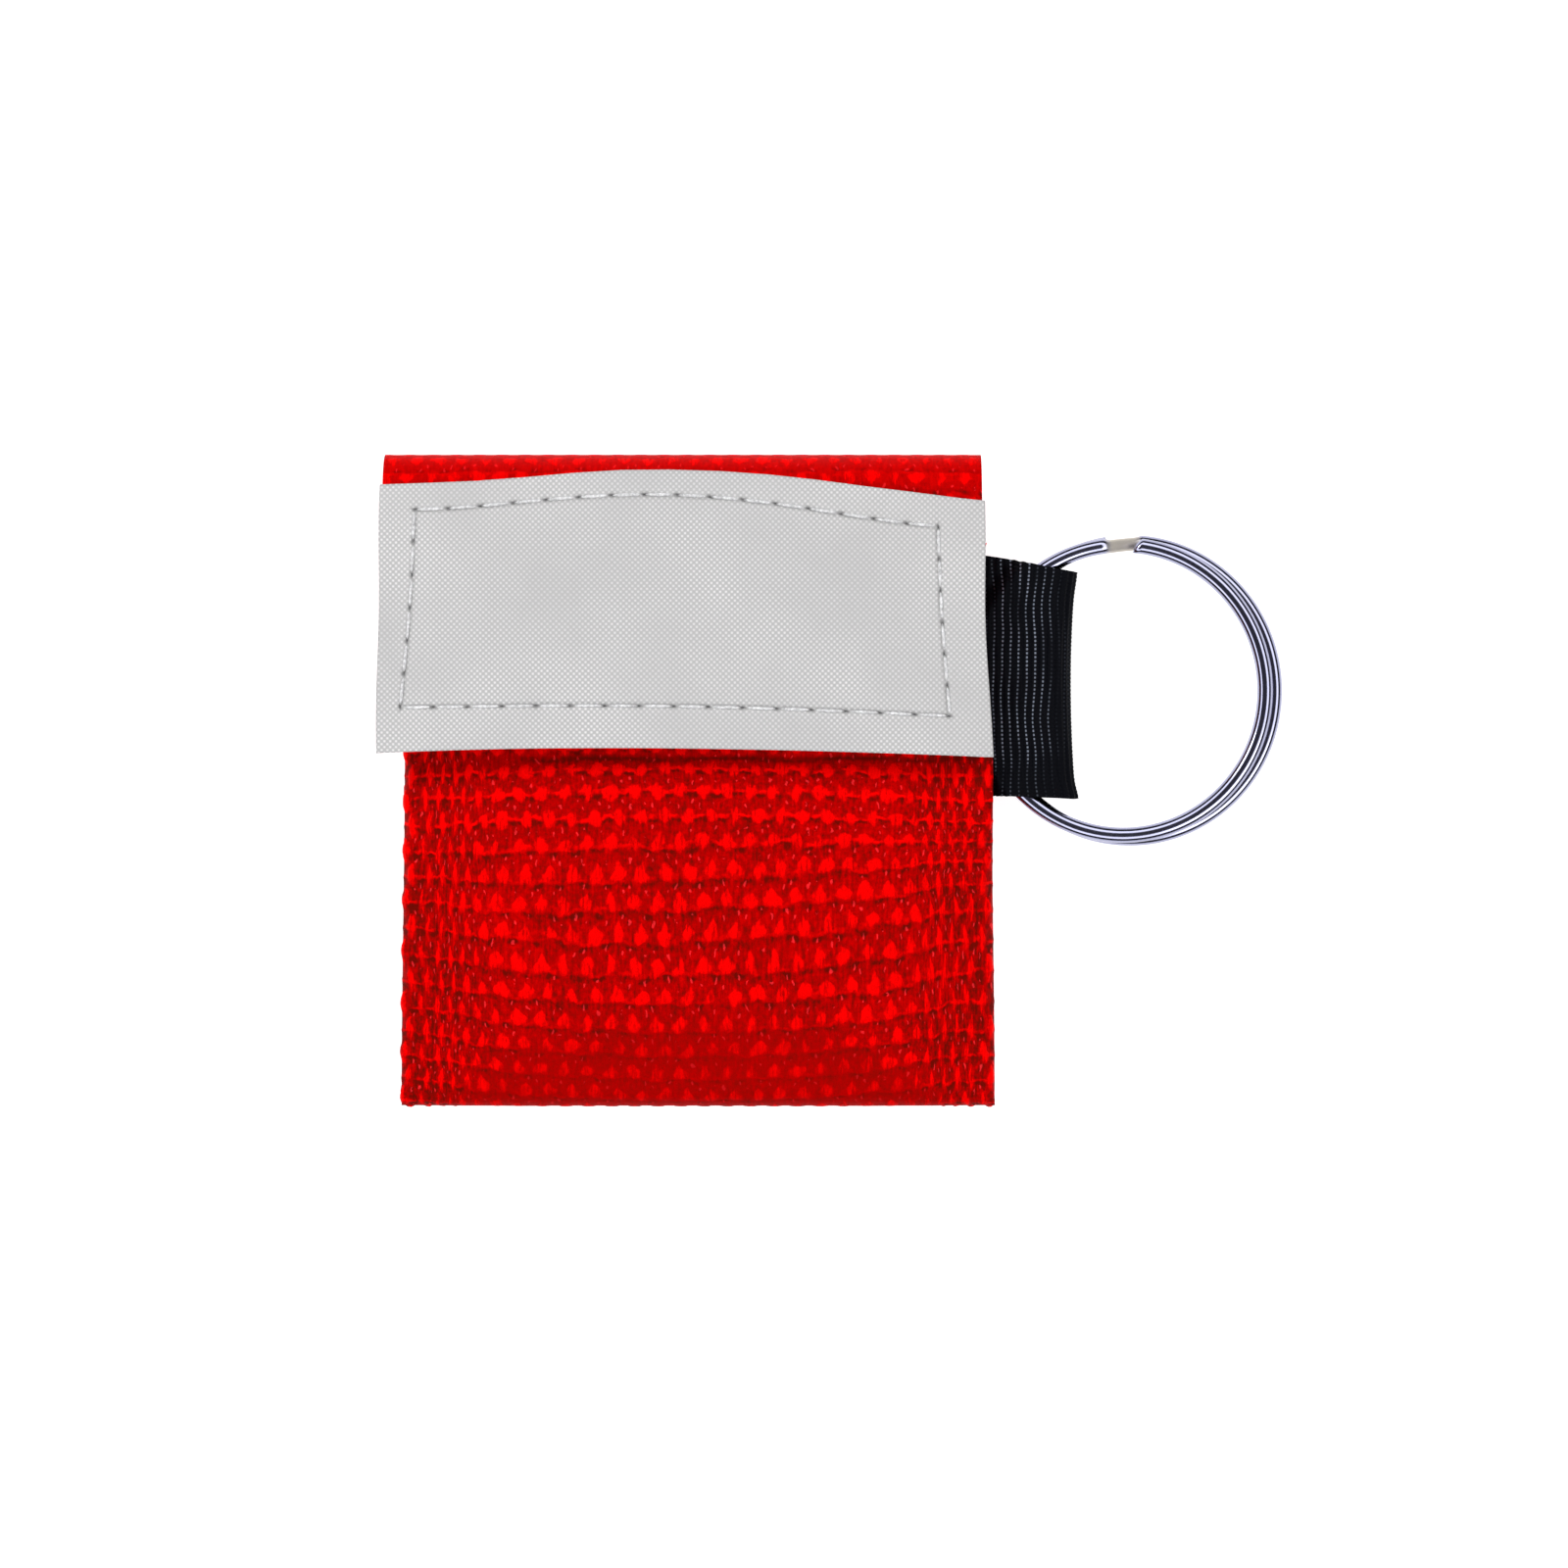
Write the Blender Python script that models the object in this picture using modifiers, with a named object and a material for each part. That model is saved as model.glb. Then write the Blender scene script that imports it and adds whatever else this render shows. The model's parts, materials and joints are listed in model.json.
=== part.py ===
"""Key-ring pouch with a hook-and-loop flap, a webbing tab and a split ring.

The pouch lies on its back: +Z leaves its front, +Y runs up to the flap's fold, +X runs to the ring.
The origin is the middle of the flat patch on the back. Units are metres.
"""

import math

import bmesh
import bpy
import numpy as np
from mathutils import Matrix, Vector

MM = 0.001

# Clearance between pieces that touch
GAP = 0.2 * MM
SPLIT_GAP = 0.3 * MM

# Pouch: one strip of webbing, folded at the bottom and again at the top
POUCH_WIDTH = 50.0 * MM
POUCH_LENGTH = 55.0 * MM
WEBBING_WALL = 1.1 * MM
EDGE_HOLLOW = 0.5 * MM
SEAM_RAISE = 2.8 * MM
FRONT_BULGE = 2.3 * MM
BACK_BULGE = 3.0 * MM
BULGE_POWER = 5.0
MOUTH_FROM_TOP = 7.5 * MM
BOTTOM_FOLD = 2.0 * MM
BOTTOM_TAPER = 14.5 * MM
BOTTOM_SHARE = 0.2
SEAM_ALLOWANCE = 4.2 * MM
ALLOWANCE_EDGE = 0.4 * MM
ALLOWANCE_BELOW_MOUTH = 1.0 * MM
THREAD = 0.5 * MM

# Flap: the same strip, past the top fold
TOP_FOLD = 5.5 * MM
FOLD_POWER = 2.6
FLAP_EXTRA_WIDTH = 1.1 * MM
FLAP_SHIFT = -1.25 * MM
FLAP_ARCH = 1.2 * MM
FLAP_LENGTH = 24.7 * MM
FLAP_BOW = 0.6 * MM

# Hook and loop
TAPE_WALL = 0.6 * MM
TAPE_WIDTH = 38.0 * MM
TAPE_HEIGHT = 13.0 * MM
TAPE_FROM_TOP = 10.5 * MM
TAPE_MESH_GAP = 0.15 * MM
TAPE_SEAM_INSET = 0.8 * MM
HOOK_INSET = 1.7 * MM

# Cloth label sewn on the flap
LABEL_WALL = 0.3 * MM
LABEL_OVERHANG = 0.25 * MM
LABEL_TOP_LEFT = 2.5 * MM
LABEL_TOP_RIGHT = 4.1 * MM
LABEL_CROWN = 2.0 * MM
LABEL_SEAM_SIDE = 3.0 * MM
LABEL_SEAM_TOP = 2.4 * MM
LABEL_SEAM_BOTTOM = 3.4 * MM
LABEL_THREAD = 0.4 * MM
LABEL_THREAD_LIFT = 0.1 * MM

# Split ring: two turns of round wire
RING_OUTER = 25.9 * MM
RING_WIRE = 1.2 * MM
RING_PITCH = 1.3 * MM
RING_STEP_START = math.radians(88)
RING_STEP_ANGLE = math.radians(14)
RING_SINK = 1.43 * MM
RING_BELOW_TAB = 0.8 * MM
RING_FLOOR_GAP = 0.05 * MM
RING_POINTS_PER_TURN = 54

# Tab: a doubled loop of narrow webbing round the ring
TAB_WALL = 0.5 * MM
TAB_RING_ROOM = 3.5 * MM
TAB_FROM_TOP = 19.1 * MM
TAB_SKEW = 0.5 * MM
TAB_RADIAL_GAP = 0.2 * MM
TAB_AXIAL_GAP = 0.15 * MM
TAB_PLY_GAP = 0.15 * MM
TAB_RIM = 0.3 * MM
TAB_CLOSE_START = 1.8 * MM
TAB_THREAD = 0.4 * MM
TAB_THREAD_INSET = 0.4 * MM
TAB_THREAD_MARGIN = 1.0 * MM
TAB_OUTSIDE = 6.8 * MM
TAB_INSIDE = 2.9 * MM
TAB_OVER_SEAM = 0.23 * MM
TAB_WALL_ROOM = 0.4 * MM
TAB_SIDE_ROOM = 1.5 * MM
TAB_LIFT_INSET = 3.5 * MM
TAB_LIFT_FADE = 8.0 * MM
TAB_LIFT_WIDTH = 5.5 * MM

# Contents: the folded barrier film with its one-way valve
PACK_WIDTH = 34.0 * MM
PACK_HEIGHT = 31.0 * MM
PACK_THICK = 2.6 * MM
PACK_ROUNDING = 1.15 * MM
PACK_OVER_WALL = 0.5 * MM
PACK_OVER_BOTTOM = 12.5 * MM
VALVE_RADIUS = 9.0 * MM
VALVE_WALL = 1.2 * MM
VALVE_FLANGE_RADIUS = 11.5 * MM
VALVE_FLANGE_WALL = 0.6 * MM
VALVE_HEIGHT = 1.9 * MM
VALVE_BORE_RADIUS = 4.3 * MM
MEMBRANE_WALL = 0.3 * MM
FILTER_WALL = 0.6 * MM
EAR_LOOP = 1.0 * MM
EAR_LOOP_LENGTH = 26.0 * MM
EAR_LOOP_WIDTH = 4.0 * MM
EAR_LOOP_CLEARANCE = 0.5 * MM

# Worked out from the values above
HALF = POUCH_WIDTH / 2
TOP = POUCH_LENGTH / 2
BOTTOM = -POUCH_LENGTH / 2
MOUTH = TOP - MOUTH_FROM_TOP
FOLD_START = TOP - TOP_FOLD
EDGE_HALF = WEBBING_WALL + EDGE_HOLLOW
SEAM_HEIGHT = EDGE_HALF + SEAM_RAISE
FRONT_MID = SEAM_HEIGHT + EDGE_HALF + FRONT_BULGE
FLAP_WIDTH = POUCH_WIDTH + FLAP_EXTRA_WIDTH
FLAP_UNDER = FRONT_MID + 2 * GAP + 2 * TAPE_WALL + TAPE_MESH_GAP
FLAP_TOP = FLAP_UNDER + WEBBING_WALL
HINGE_Z = FLAP_TOP / 2
RING_RADIUS = (RING_OUTER - RING_WIRE) / 2
RING_HALF_STACK = (RING_PITCH + RING_WIRE) / 2
TAB_WIDTH = RING_OUTER - 2 * RING_WIRE - TAB_RING_ROOM
TAB_MID_Y = TOP - TAB_FROM_TOP
TAB_REACH = HALF + TAB_OUTSIDE
TAB_ROOT = HALF - TAB_INSIDE
TUNNEL_HALF = RING_HALF_STACK + TAB_AXIAL_GAP
TUNNEL_RADIUS = RING_OUTER / 2 + TAB_RADIAL_GAP
TAB_OPEN_HALF = TUNNEL_HALF + TAB_WALL
TAB_CLOSED_HALF = TAB_WALL + TAB_PLY_GAP
TAB_LIFT = TAB_OPEN_HALF + TAB_WALL_ROOM
TAB_DROP = TAB_OPEN_HALF
TAB_LIFT_FLAT = TAB_WIDTH / 2 - TAB_LIFT_INSET
TAB_LIFT_END = TAB_WIDTH / 2 + TAB_LIFT_FADE
# The ring leans from the floor up to the seam, by a small angle that is nearly its rise over its reach
RING_RISE = SEAM_HEIGHT + TAB_OVER_SEAM - RING_FLOOR_GAP - RING_HALF_STACK
RING_TILT = RING_RISE / (RING_RADIUS + RING_OUTER / 2 - RING_SINK)
RING_MID_X = HALF - RING_SINK + RING_OUTER / 2 * math.cos(RING_TILT) + RING_PITCH / 2 * math.sin(RING_TILT)
RING_MID_Y = TAB_MID_Y - RING_BELOW_TAB
RING_MID_Z = (
    RING_FLOOR_GAP + RING_WIRE / 2 + RING_RADIUS * math.sin(RING_TILT) + RING_PITCH / 2 * math.cos(RING_TILT)
)
RING_PLACE = Matrix.Translation((RING_MID_X, RING_MID_Y, RING_MID_Z)) @ Matrix.Rotation(RING_TILT, 4, "Y")
PACK_BASE = WEBBING_WALL + PACK_OVER_WALL
PACK_LOW_Y = BOTTOM + PACK_OVER_BOTTOM

# Shape of the tab's closed end: how square it is, and the least share of its thickness at the very end
NOSE_POWER = 6
NOSE_LEAST = 0.12
# How far back from the tab's end its last cross-sections stand
NOSE_STEPS = np.array([1.4, 0.9, 0.4, 0.1, 0.0]) * MM
# Step over which a slope is measured
SLOPE_STEP = 0.1 * MM


def smooth(value):
    """0 below 0, 1 above 1, and an S-shaped rise between."""
    part = np.clip(value, 0.0, 1.0)
    return part * part * (3 - 2 * part)


def crown(x):
    """How full the pouch is across its width: 1 in the middle, 0 at a side seam."""
    return 1 - np.minimum(np.abs(x) / HALF, 1.0) ** BULGE_POWER


def fullness(y):
    """How full the pouch is along its length: 1, falling to BOTTOM_SHARE at the bottom fold."""
    return BOTTOM_SHARE + (1 - BOTTOM_SHARE) * smooth((y - BOTTOM) / BOTTOM_TAPER)


def spread(x, y):
    """How far the tab and the ring in it part the two walls at the right seam, from 0 to 1."""
    along = np.abs(y - RING_MID_Y)
    fall = np.clip((along - TAB_LIFT_FLAT) / (TAB_LIFT_END - TAB_LIFT_FLAT), 0.0, 1.0)
    return smooth((x - HALF + TAB_LIFT_WIDTH) / TAB_LIFT_WIDTH) * (0.5 + 0.5 * np.cos(math.pi * fall))


def front_z(x, y):
    """Height of the outside of the front wall."""
    return SEAM_HEIGHT + EDGE_HALF + FRONT_BULGE * crown(x) * fullness(y) + TAB_LIFT * spread(x, y)


def back_z(x, y):
    """Height of the outside of the back wall, flat at 0 where the pouch rests."""
    low = SEAM_HEIGHT - EDGE_HALF - BACK_BULGE * crown(x) * fullness(y) - TAB_DROP * spread(x, y)
    return np.maximum(low, 0.0)


def flap_z(x):
    """Height of the outside of the flap before the top fold."""
    return FLAP_TOP - FLAP_ARCH * ((x - FLAP_SHIFT) / (FLAP_WIDTH / 2)) ** 4


def top_z(x, y):
    """Height of the outside of the flap, down over the top fold, which is part of a superellipse."""
    along = np.clip((y - FOLD_START) / TOP_FOLD, 0.0, 1.0)
    return HINGE_Z + (flap_z(x) - HINGE_Z) * (1 - along**FOLD_POWER) ** (1 / FOLD_POWER)


def tab_z(x):
    """Height of the ring's plane, which is the tab's middle plane."""
    return RING_MID_Z + (RING_MID_X - x) * math.tan(RING_TILT)


def skew(part):
    """Sideways shift of the strip and its half width: 0 is the pouch's, 1 the flap's."""
    share = smooth(part)
    return FLAP_SHIFT * share, HALF + (FLAP_WIDTH / 2 - HALF) * share


def spaced_columns(count):
    """Places across a strip from -1 to 1, closer together near its edges."""
    return np.sin(np.linspace(-math.pi / 2, math.pi / 2, count)) * 0.5 + np.linspace(-1, 1, count) * 0.5


parts = bpy.data.collections.new("key_ring_pouch")
cutters = bpy.data.collections.new("cutters")


def material(name, colour, roughness, metallic=0.0):
    made = bpy.data.materials.new(name)
    made.use_nodes = True
    shader = made.node_tree.nodes["Principled BSDF"]
    shader.inputs["Base Color"].default_value = (*colour, 1.0)
    shader.inputs["Roughness"].default_value = roughness
    shader.inputs["Metallic"].default_value = metallic
    return made


def add_object(name, data, finish, collection=parts):
    made = bpy.data.objects.new(name, data)
    collection.objects.link(made)
    if finish is not None:
        data.materials.append(finish)
    return made


def grid_mesh(name, x, y, z):
    """An open surface through a grid of points, facing the side that its rows then columns turn to."""
    rows, columns = x.shape
    points = np.stack([x, y, z], axis=-1).reshape(-1, 3)
    corner = (np.arange(rows - 1)[:, None] * columns + np.arange(columns - 1)).reshape(-1)
    faces = np.stack([corner, corner + columns, corner + columns + 1, corner + 1], axis=-1)
    mesh = bpy.data.meshes.new(name)
    mesh.from_pydata(points.tolist(), [], faces.tolist())
    mesh.shade_smooth()
    return mesh


def sheet(name, grid, wall, finish, outward):
    """Cloth of one thickness: an open surface with Solidify, growing to the side outward (1 or -1) says."""
    made = add_object(name, grid_mesh(name, *grid), finish)
    solid = made.modifiers.new("wall", "SOLIDIFY")
    solid.thickness = wall
    solid.offset = outward
    solid.use_even_offset = True
    return made


def slab(name, x, y, low, high, finish, collection=parts):
    """A closed solid between two height fields over the same grid."""
    rows, columns = x.shape
    made = bmesh.new()
    layers = []
    for z in (low, high):
        points = np.stack([x, y, z], axis=-1)
        layers.append([[made.verts.new(point) for point in row] for row in points])
    bottom, top = layers
    for r in range(rows - 1):
        for c in range(columns - 1):
            made.faces.new((top[r][c], top[r][c + 1], top[r + 1][c + 1], top[r + 1][c]))
            made.faces.new((bottom[r][c], bottom[r + 1][c], bottom[r + 1][c + 1], bottom[r][c + 1]))
    rim = [(r, 0) for r in range(rows)] + [(rows - 1, c) for c in range(1, columns)]
    rim += [(r, columns - 1) for r in range(rows - 2, -1, -1)] + [(0, c) for c in range(columns - 2, 0, -1)]
    for (r0, c0), (r1, c1) in zip(rim, rim[1:] + rim[:1]):
        made.faces.new((bottom[r0][c0], bottom[r1][c1], top[r1][c1], top[r0][c0]))
    bmesh.ops.recalc_face_normals(made, faces=made.faces)
    mesh = bpy.data.meshes.new(name)
    made.to_mesh(mesh)
    made.free()
    return add_object(name, mesh, finish, collection)


def wire(name, points, radius, finish, cyclic=False):
    """Round thread, elastic or spring wire along a list of points."""
    curve = bpy.data.curves.new(name, "CURVE")
    curve.dimensions = "3D"
    curve.bevel_depth = radius
    curve.bevel_resolution = 1
    curve.use_fill_caps = True
    spline = curve.splines.new("POLY")
    spline.points.add(len(points) - 1)
    for point, place in zip(spline.points, points):
        point.co = (*place, 1.0)
    spline.use_cyclic_u = cyclic
    return add_object(name, curve, finish)


def turned(name, profile, place, finish):
    """A turned piece: a closed profile of (radius, height) pairs, down its outer side first."""
    mesh = bpy.data.meshes.new(name)
    points = [(radius, 0.0, height) for radius, height in profile]
    edges = [(i, (i + 1) % len(points)) for i in range(len(points))]
    if profile[0][0] == 0.0:
        edges = edges[:-1]
    mesh.from_pydata(points, edges, [])
    made = add_object(name, mesh, finish)
    made.location = place
    screw = made.modifiers.new("turn", "SCREW")
    screw.angle = math.tau
    screw.steps = 36
    screw.render_steps = 36
    screw.use_merge_vertices = True
    screw.merge_threshold = 0.00001
    return made


def as_cutter(name):
    """Names the primitive that was just added and moves it to the cutters."""
    made = bpy.context.object
    made.name = name
    for owner in made.users_collection:
        owner.objects.unlink(made)
    cutters.objects.link(made)
    return made


def cut(target, cutter):
    """Boolean difference with a helper that stays out of the part."""
    cutter.hide_render = True
    cutter.display_type = "WIRE"
    boolean = target.modifiers.new(f"cut {cutter.name}", "BOOLEAN")
    boolean.object = cutter
    boolean.operation = "DIFFERENCE"
    return boolean


def make_pouch_strip(red):
    """Front wall, bottom fold, back wall and the lower half of the top fold, as one folded strip."""
    across = spaced_columns(19)
    rows = []
    for y in np.linspace(MOUTH, BOTTOM + BOTTOM_FOLD, 18):
        x = across * HALF
        rows.append((x, np.full_like(x, y), front_z(x, y)))
    for angle in np.radians(np.linspace(60, -60, 5)):
        x = across * HALF
        y = BOTTOM + BOTTOM_FOLD
        high, low = front_z(x, y), back_z(x, y)
        place = (high + low) / 2 + (high - low) / 2 * math.sin(angle)
        rows.append((x, np.full_like(x, y - BOTTOM_FOLD * math.cos(angle)), place))
    for y in np.linspace(BOTTOM + BOTTOM_FOLD, FOLD_START, 19):
        shift, half = skew((y - FOLD_START) / TOP_FOLD * 0.5 + 0.5)
        x = across * half + shift
        rows.append((x, np.full_like(x, y), back_z(across * HALF, y)))
    shift, half = skew(1.0)
    x = across * half + shift
    low = back_z(across * HALF, FOLD_START)
    for angle in np.radians([72, 54, 38, 24, 11]):
        y = FOLD_START + TOP_FOLD * math.cos(angle) ** (2 / FOLD_POWER)
        rows.append((x, np.full_like(x, y), HINGE_Z - (HINGE_Z - low) * math.sin(angle) ** (2 / FOLD_POWER)))
    rows.append((x, np.full_like(x, TOP), np.full_like(x, HINGE_Z - SPLIT_GAP / 2)))
    grid = [np.array(axis) for axis in zip(*rows)]
    return sheet("pouch_strip", grid, WEBBING_WALL, red, -1)


def flap_end(x):
    """Y of the flap's free edge, which bows up in the middle."""
    return TOP - FLAP_LENGTH - FLAP_BOW * ((x - FLAP_SHIFT) / (FLAP_WIDTH / 2)) ** 2


def make_flap_strip(red):
    """The upper half of the top fold and the flap, as one strip."""
    shift, half = skew(1.0)
    x = spaced_columns(17) * half + shift
    rows = [(x, np.full_like(x, TOP), np.full_like(x, HINGE_Z + SPLIT_GAP / 2))]
    for angle in np.radians([11, 24, 38, 54, 72]):
        y = FOLD_START + TOP_FOLD * math.cos(angle) ** (2 / FOLD_POWER)
        rise = math.sin(angle) ** (2 / FOLD_POWER)
        rows.append((x, np.full_like(x, y), HINGE_Z + (flap_z(x) - HINGE_Z) * rise))
    for share in np.linspace(0, 1, 9):
        y = FOLD_START + (flap_end(x) - FOLD_START) * share
        rows.append((x, y, flap_z(x)))
    grid = [np.array(axis) for axis in zip(*rows)]
    return sheet("flap_strip", grid, WEBBING_WALL, red, -1)


def label_top(x):
    """Y of the label's upper edge: a slanted line with a low crown."""
    share = (x - FLAP_SHIFT) / FLAP_WIDTH + 0.5
    line = TOP - LABEL_TOP_LEFT + (LABEL_TOP_LEFT - LABEL_TOP_RIGHT) * share
    return line + LABEL_CROWN * np.sin(math.pi * np.clip(share, 0, 1)) ** 1.5


def label_lift(x, y):
    """Vertical clearance that keeps GAP across the slope of the fold."""
    slope = (top_z(x, y + SLOPE_STEP) - top_z(x, y - SLOPE_STEP)) / (2 * SLOPE_STEP)
    return GAP * np.sqrt(1 + slope**2)


def make_label(grey):
    shift, half = skew(1.0)
    x = np.linspace(-1, 1, 17) * (half + LABEL_OVERHANG) + shift
    rows = np.linspace(0, 1, 14)
    x, share = np.meshgrid(x, rows)
    low_edge = flap_end(x) - LABEL_OVERHANG
    y = low_edge + (label_top(x) - low_edge) * share
    low = top_z(x, y) + label_lift(x, y)
    return slab("flap_label", x, y, low, low + LABEL_WALL, grey)


def label_seam(grey):
    """A closed line of stitches along the label's four sides."""
    shift, half = skew(1.0)
    left, right = shift - half + LABEL_SEAM_SIDE, shift + half - LABEL_SEAM_SIDE
    across = np.linspace(left, right, 18)
    bottom = flap_end(across) + LABEL_SEAM_BOTTOM
    top = label_top(across) - LABEL_SEAM_TOP
    rise = np.linspace(0, 1, 7)[1:-1]
    x = np.concatenate([across, np.full(5, right), across[::-1], np.full(5, left)])
    y = np.concatenate([bottom, bottom[-1] + (top[-1] - bottom[-1]) * rise])
    y = np.concatenate([y, top[::-1], top[0] + (bottom[0] - top[0]) * rise])
    z = top_z(x, y) + 2 * GAP + LABEL_WALL + LABEL_THREAD / 2 + LABEL_THREAD_LIFT
    return wire("flap_label_thread", np.stack([x, y, z], axis=-1), LABEL_THREAD / 2, grey, True)


def tape_grid(inset):
    """Points over the tape's rectangle, or over one that is smaller by inset on each side."""
    x = np.linspace(-TAPE_WIDTH / 2 + inset, TAPE_WIDTH / 2 - inset, 11)
    y = np.linspace(TOP - TAPE_FROM_TOP - TAPE_HEIGHT + inset, TOP - TAPE_FROM_TOP - inset, 5)
    return np.meshgrid(x, y)


def make_tapes(dark, thread):
    """Loop tape on the front wall with its line of thread, and hook tape inside the flap."""
    x, y = tape_grid(0.0)
    low = front_z(x, y) + GAP
    slab("loop_tape", x, y, low, low + TAPE_WALL, dark)
    x, y = tape_grid(TAPE_SEAM_INSET)
    x = np.concatenate([x[0], x[1:, -1], x[-1, -2::-1], x[-2:0:-1, 0]])
    y = np.concatenate([y[0], y[1:, -1], y[-1, -2::-1], y[-2:0:-1, 0]])
    z = front_z(x, y) + GAP + TAPE_WALL + GAP / 2 + THREAD / 2
    wire("loop_tape_thread", np.stack([x, y, z], axis=-1), THREAD / 2, thread, True)
    x, y = tape_grid(HOOK_INSET)
    high = flap_z(x) - WEBBING_WALL - GAP
    slab("hook_tape", x, y, high - TAPE_WALL, high, dark)


def make_side_seams(red, thread):
    """The turned-in edges of the walls at each side, and the thread that closes them inside."""
    for side, word in ((-1, "left"), (1, "right")):
        across = np.linspace(HALF - SEAM_ALLOWANCE, HALF - ALLOWANCE_EDGE, 6) * side
        along = np.linspace(BOTTOM + 2 * BOTTOM_FOLD, MOUTH - ALLOWANCE_BELOW_MOUTH, 16)
        x, y = np.meshgrid(across, along)
        slope = (front_z(x + SLOPE_STEP, y) - front_z(x - SLOPE_STEP, y)) / (2 * SLOPE_STEP)
        fall = (back_z(x + SLOPE_STEP, y) - back_z(x - SLOPE_STEP, y)) / (2 * SLOPE_STEP)
        high = front_z(x, y) - WEBBING_WALL * np.sqrt(1 + slope**2) - GAP
        low = back_z(x, y) + WEBBING_WALL * np.sqrt(1 + fall**2) + GAP
        allowance = slab(f"side_seam_allowance_{word}", x, y, low, high, red)
        if side > 0:
            cut(allowance, make_tab_room())
        inner = (HALF - SEAM_ALLOWANCE - GAP - THREAD / 2) * side
        points = [(inner, y, SEAM_HEIGHT) for y in along]
        wire(f"side_seam_thread_{word}", points, THREAD / 2, thread)


def make_tab_room():
    """Cutter for the stretch of the right allowance that the tab's root takes up."""
    bpy.ops.mesh.primitive_cube_add(size=1)
    room = as_cutter("tab_room")
    low, high = TAB_ROOT - GAP, HALF + SEAM_ALLOWANCE
    length = TAB_WIDTH + 2 * TAB_SKEW + 2 * TAB_SIDE_ROOM
    room.location = ((low + high) / 2, TAB_MID_Y, SEAM_HEIGHT)
    room.scale = (high - low, length, 2 * FLAP_TOP)
    return room


def tab_half(x, y):
    """Half the tab's thickness: closed outside the ring's circle, and open round the ring."""
    reach = np.hypot((x - RING_MID_X) / math.cos(RING_TILT), y - RING_MID_Y)
    ramp = smooth((TUNNEL_RADIUS + TAB_CLOSE_START - reach) / (TAB_CLOSE_START - TAB_RIM))
    half = TAB_CLOSED_HALF + (TAB_OPEN_HALF - TAB_CLOSED_HALF) * ramp
    nose = np.clip((x - TAB_REACH + TAB_OPEN_HALF) / TAB_OPEN_HALF, 0, 1)
    return half * np.maximum(np.sqrt(1 - nose**NOSE_POWER), NOSE_LEAST)


def make_tab_thread(thread):
    """The row of thread that holds the tab's two ends in the seam."""
    y = np.linspace(-0.5, 0.5, 9) * (TAB_WIDTH - 2 * TAB_THREAD_MARGIN) + TAB_MID_Y
    x = np.full_like(y, TAB_ROOT + TAB_THREAD_INSET)
    z = tab_z(x) + tab_half(x, y) + GAP + TAB_THREAD / 2
    wire("tab_thread", np.stack([x, y, z], axis=-1), TAB_THREAD / 2, thread)


def make_tab(black):
    """A doubled loop: closed at its root and round the ring's arc, with a tunnel that the ring runs in."""
    x = np.concatenate([np.linspace(TAB_ROOT, TAB_REACH - NOSE_STEPS[0], 13), TAB_REACH - NOSE_STEPS[1:]])
    share = np.linspace(-0.5, 0.5, 19)
    x, share = np.meshgrid(x, share)
    part = (x - TAB_ROOT) / (TAB_REACH - TAB_ROOT)
    y = TAB_MID_Y + share * TAB_WIDTH - TAB_SKEW * (part - 0.5)
    half = tab_half(x, y)
    made = slab("tab_webbing", x, y, tab_z(x) - half, tab_z(x) + half, black)
    bpy.ops.mesh.primitive_cylinder_add(vertices=96, radius=TUNNEL_RADIUS, depth=2 * TUNNEL_HALF)
    tunnel = as_cutter("ring_tunnel")
    tunnel.matrix_world = RING_PLACE
    bpy.ops.mesh.primitive_cube_add(size=2 * RING_OUTER)
    beyond = as_cutter("beyond_tab")
    beyond.location = (TAB_REACH - TAB_WALL + RING_OUTER, RING_MID_Y, RING_MID_Z)
    cut(tunnel, beyond)
    cut(made, tunnel)
    return made


def make_ring(nickel):
    """Two turns of round wire that step down once past each other; both cut ends stand at the step."""
    count = 2 * RING_POINTS_PER_TURN
    turn = np.linspace(0, 2 * math.tau - RING_STEP_ANGLE, count)
    drop = smooth((turn - math.tau + RING_STEP_ANGLE) / RING_STEP_ANGLE)
    angle = RING_STEP_START - turn
    x, y = RING_RADIUS * np.cos(angle), RING_RADIUS * np.sin(angle)
    z = RING_PITCH * (0.5 - drop)
    ring = wire("split_ring", np.stack([x, y, z], axis=-1), RING_WIRE / 2, nickel)
    ring.data.bevel_resolution = 2
    ring.matrix_world = RING_PLACE
    return ring


def rounded_block(name, size, place, radius, finish):
    made = bmesh.new()
    bmesh.ops.create_cube(made, size=1, matrix=Matrix.Diagonal((*size, 1)))
    mesh = bpy.data.meshes.new(name)
    made.to_mesh(mesh)
    made.free()
    block = add_object(name, mesh, finish)
    block.location = place
    bevel = block.modifiers.new("soft edges", "BEVEL")
    bevel.width = radius
    bevel.segments = 3
    return block


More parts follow.
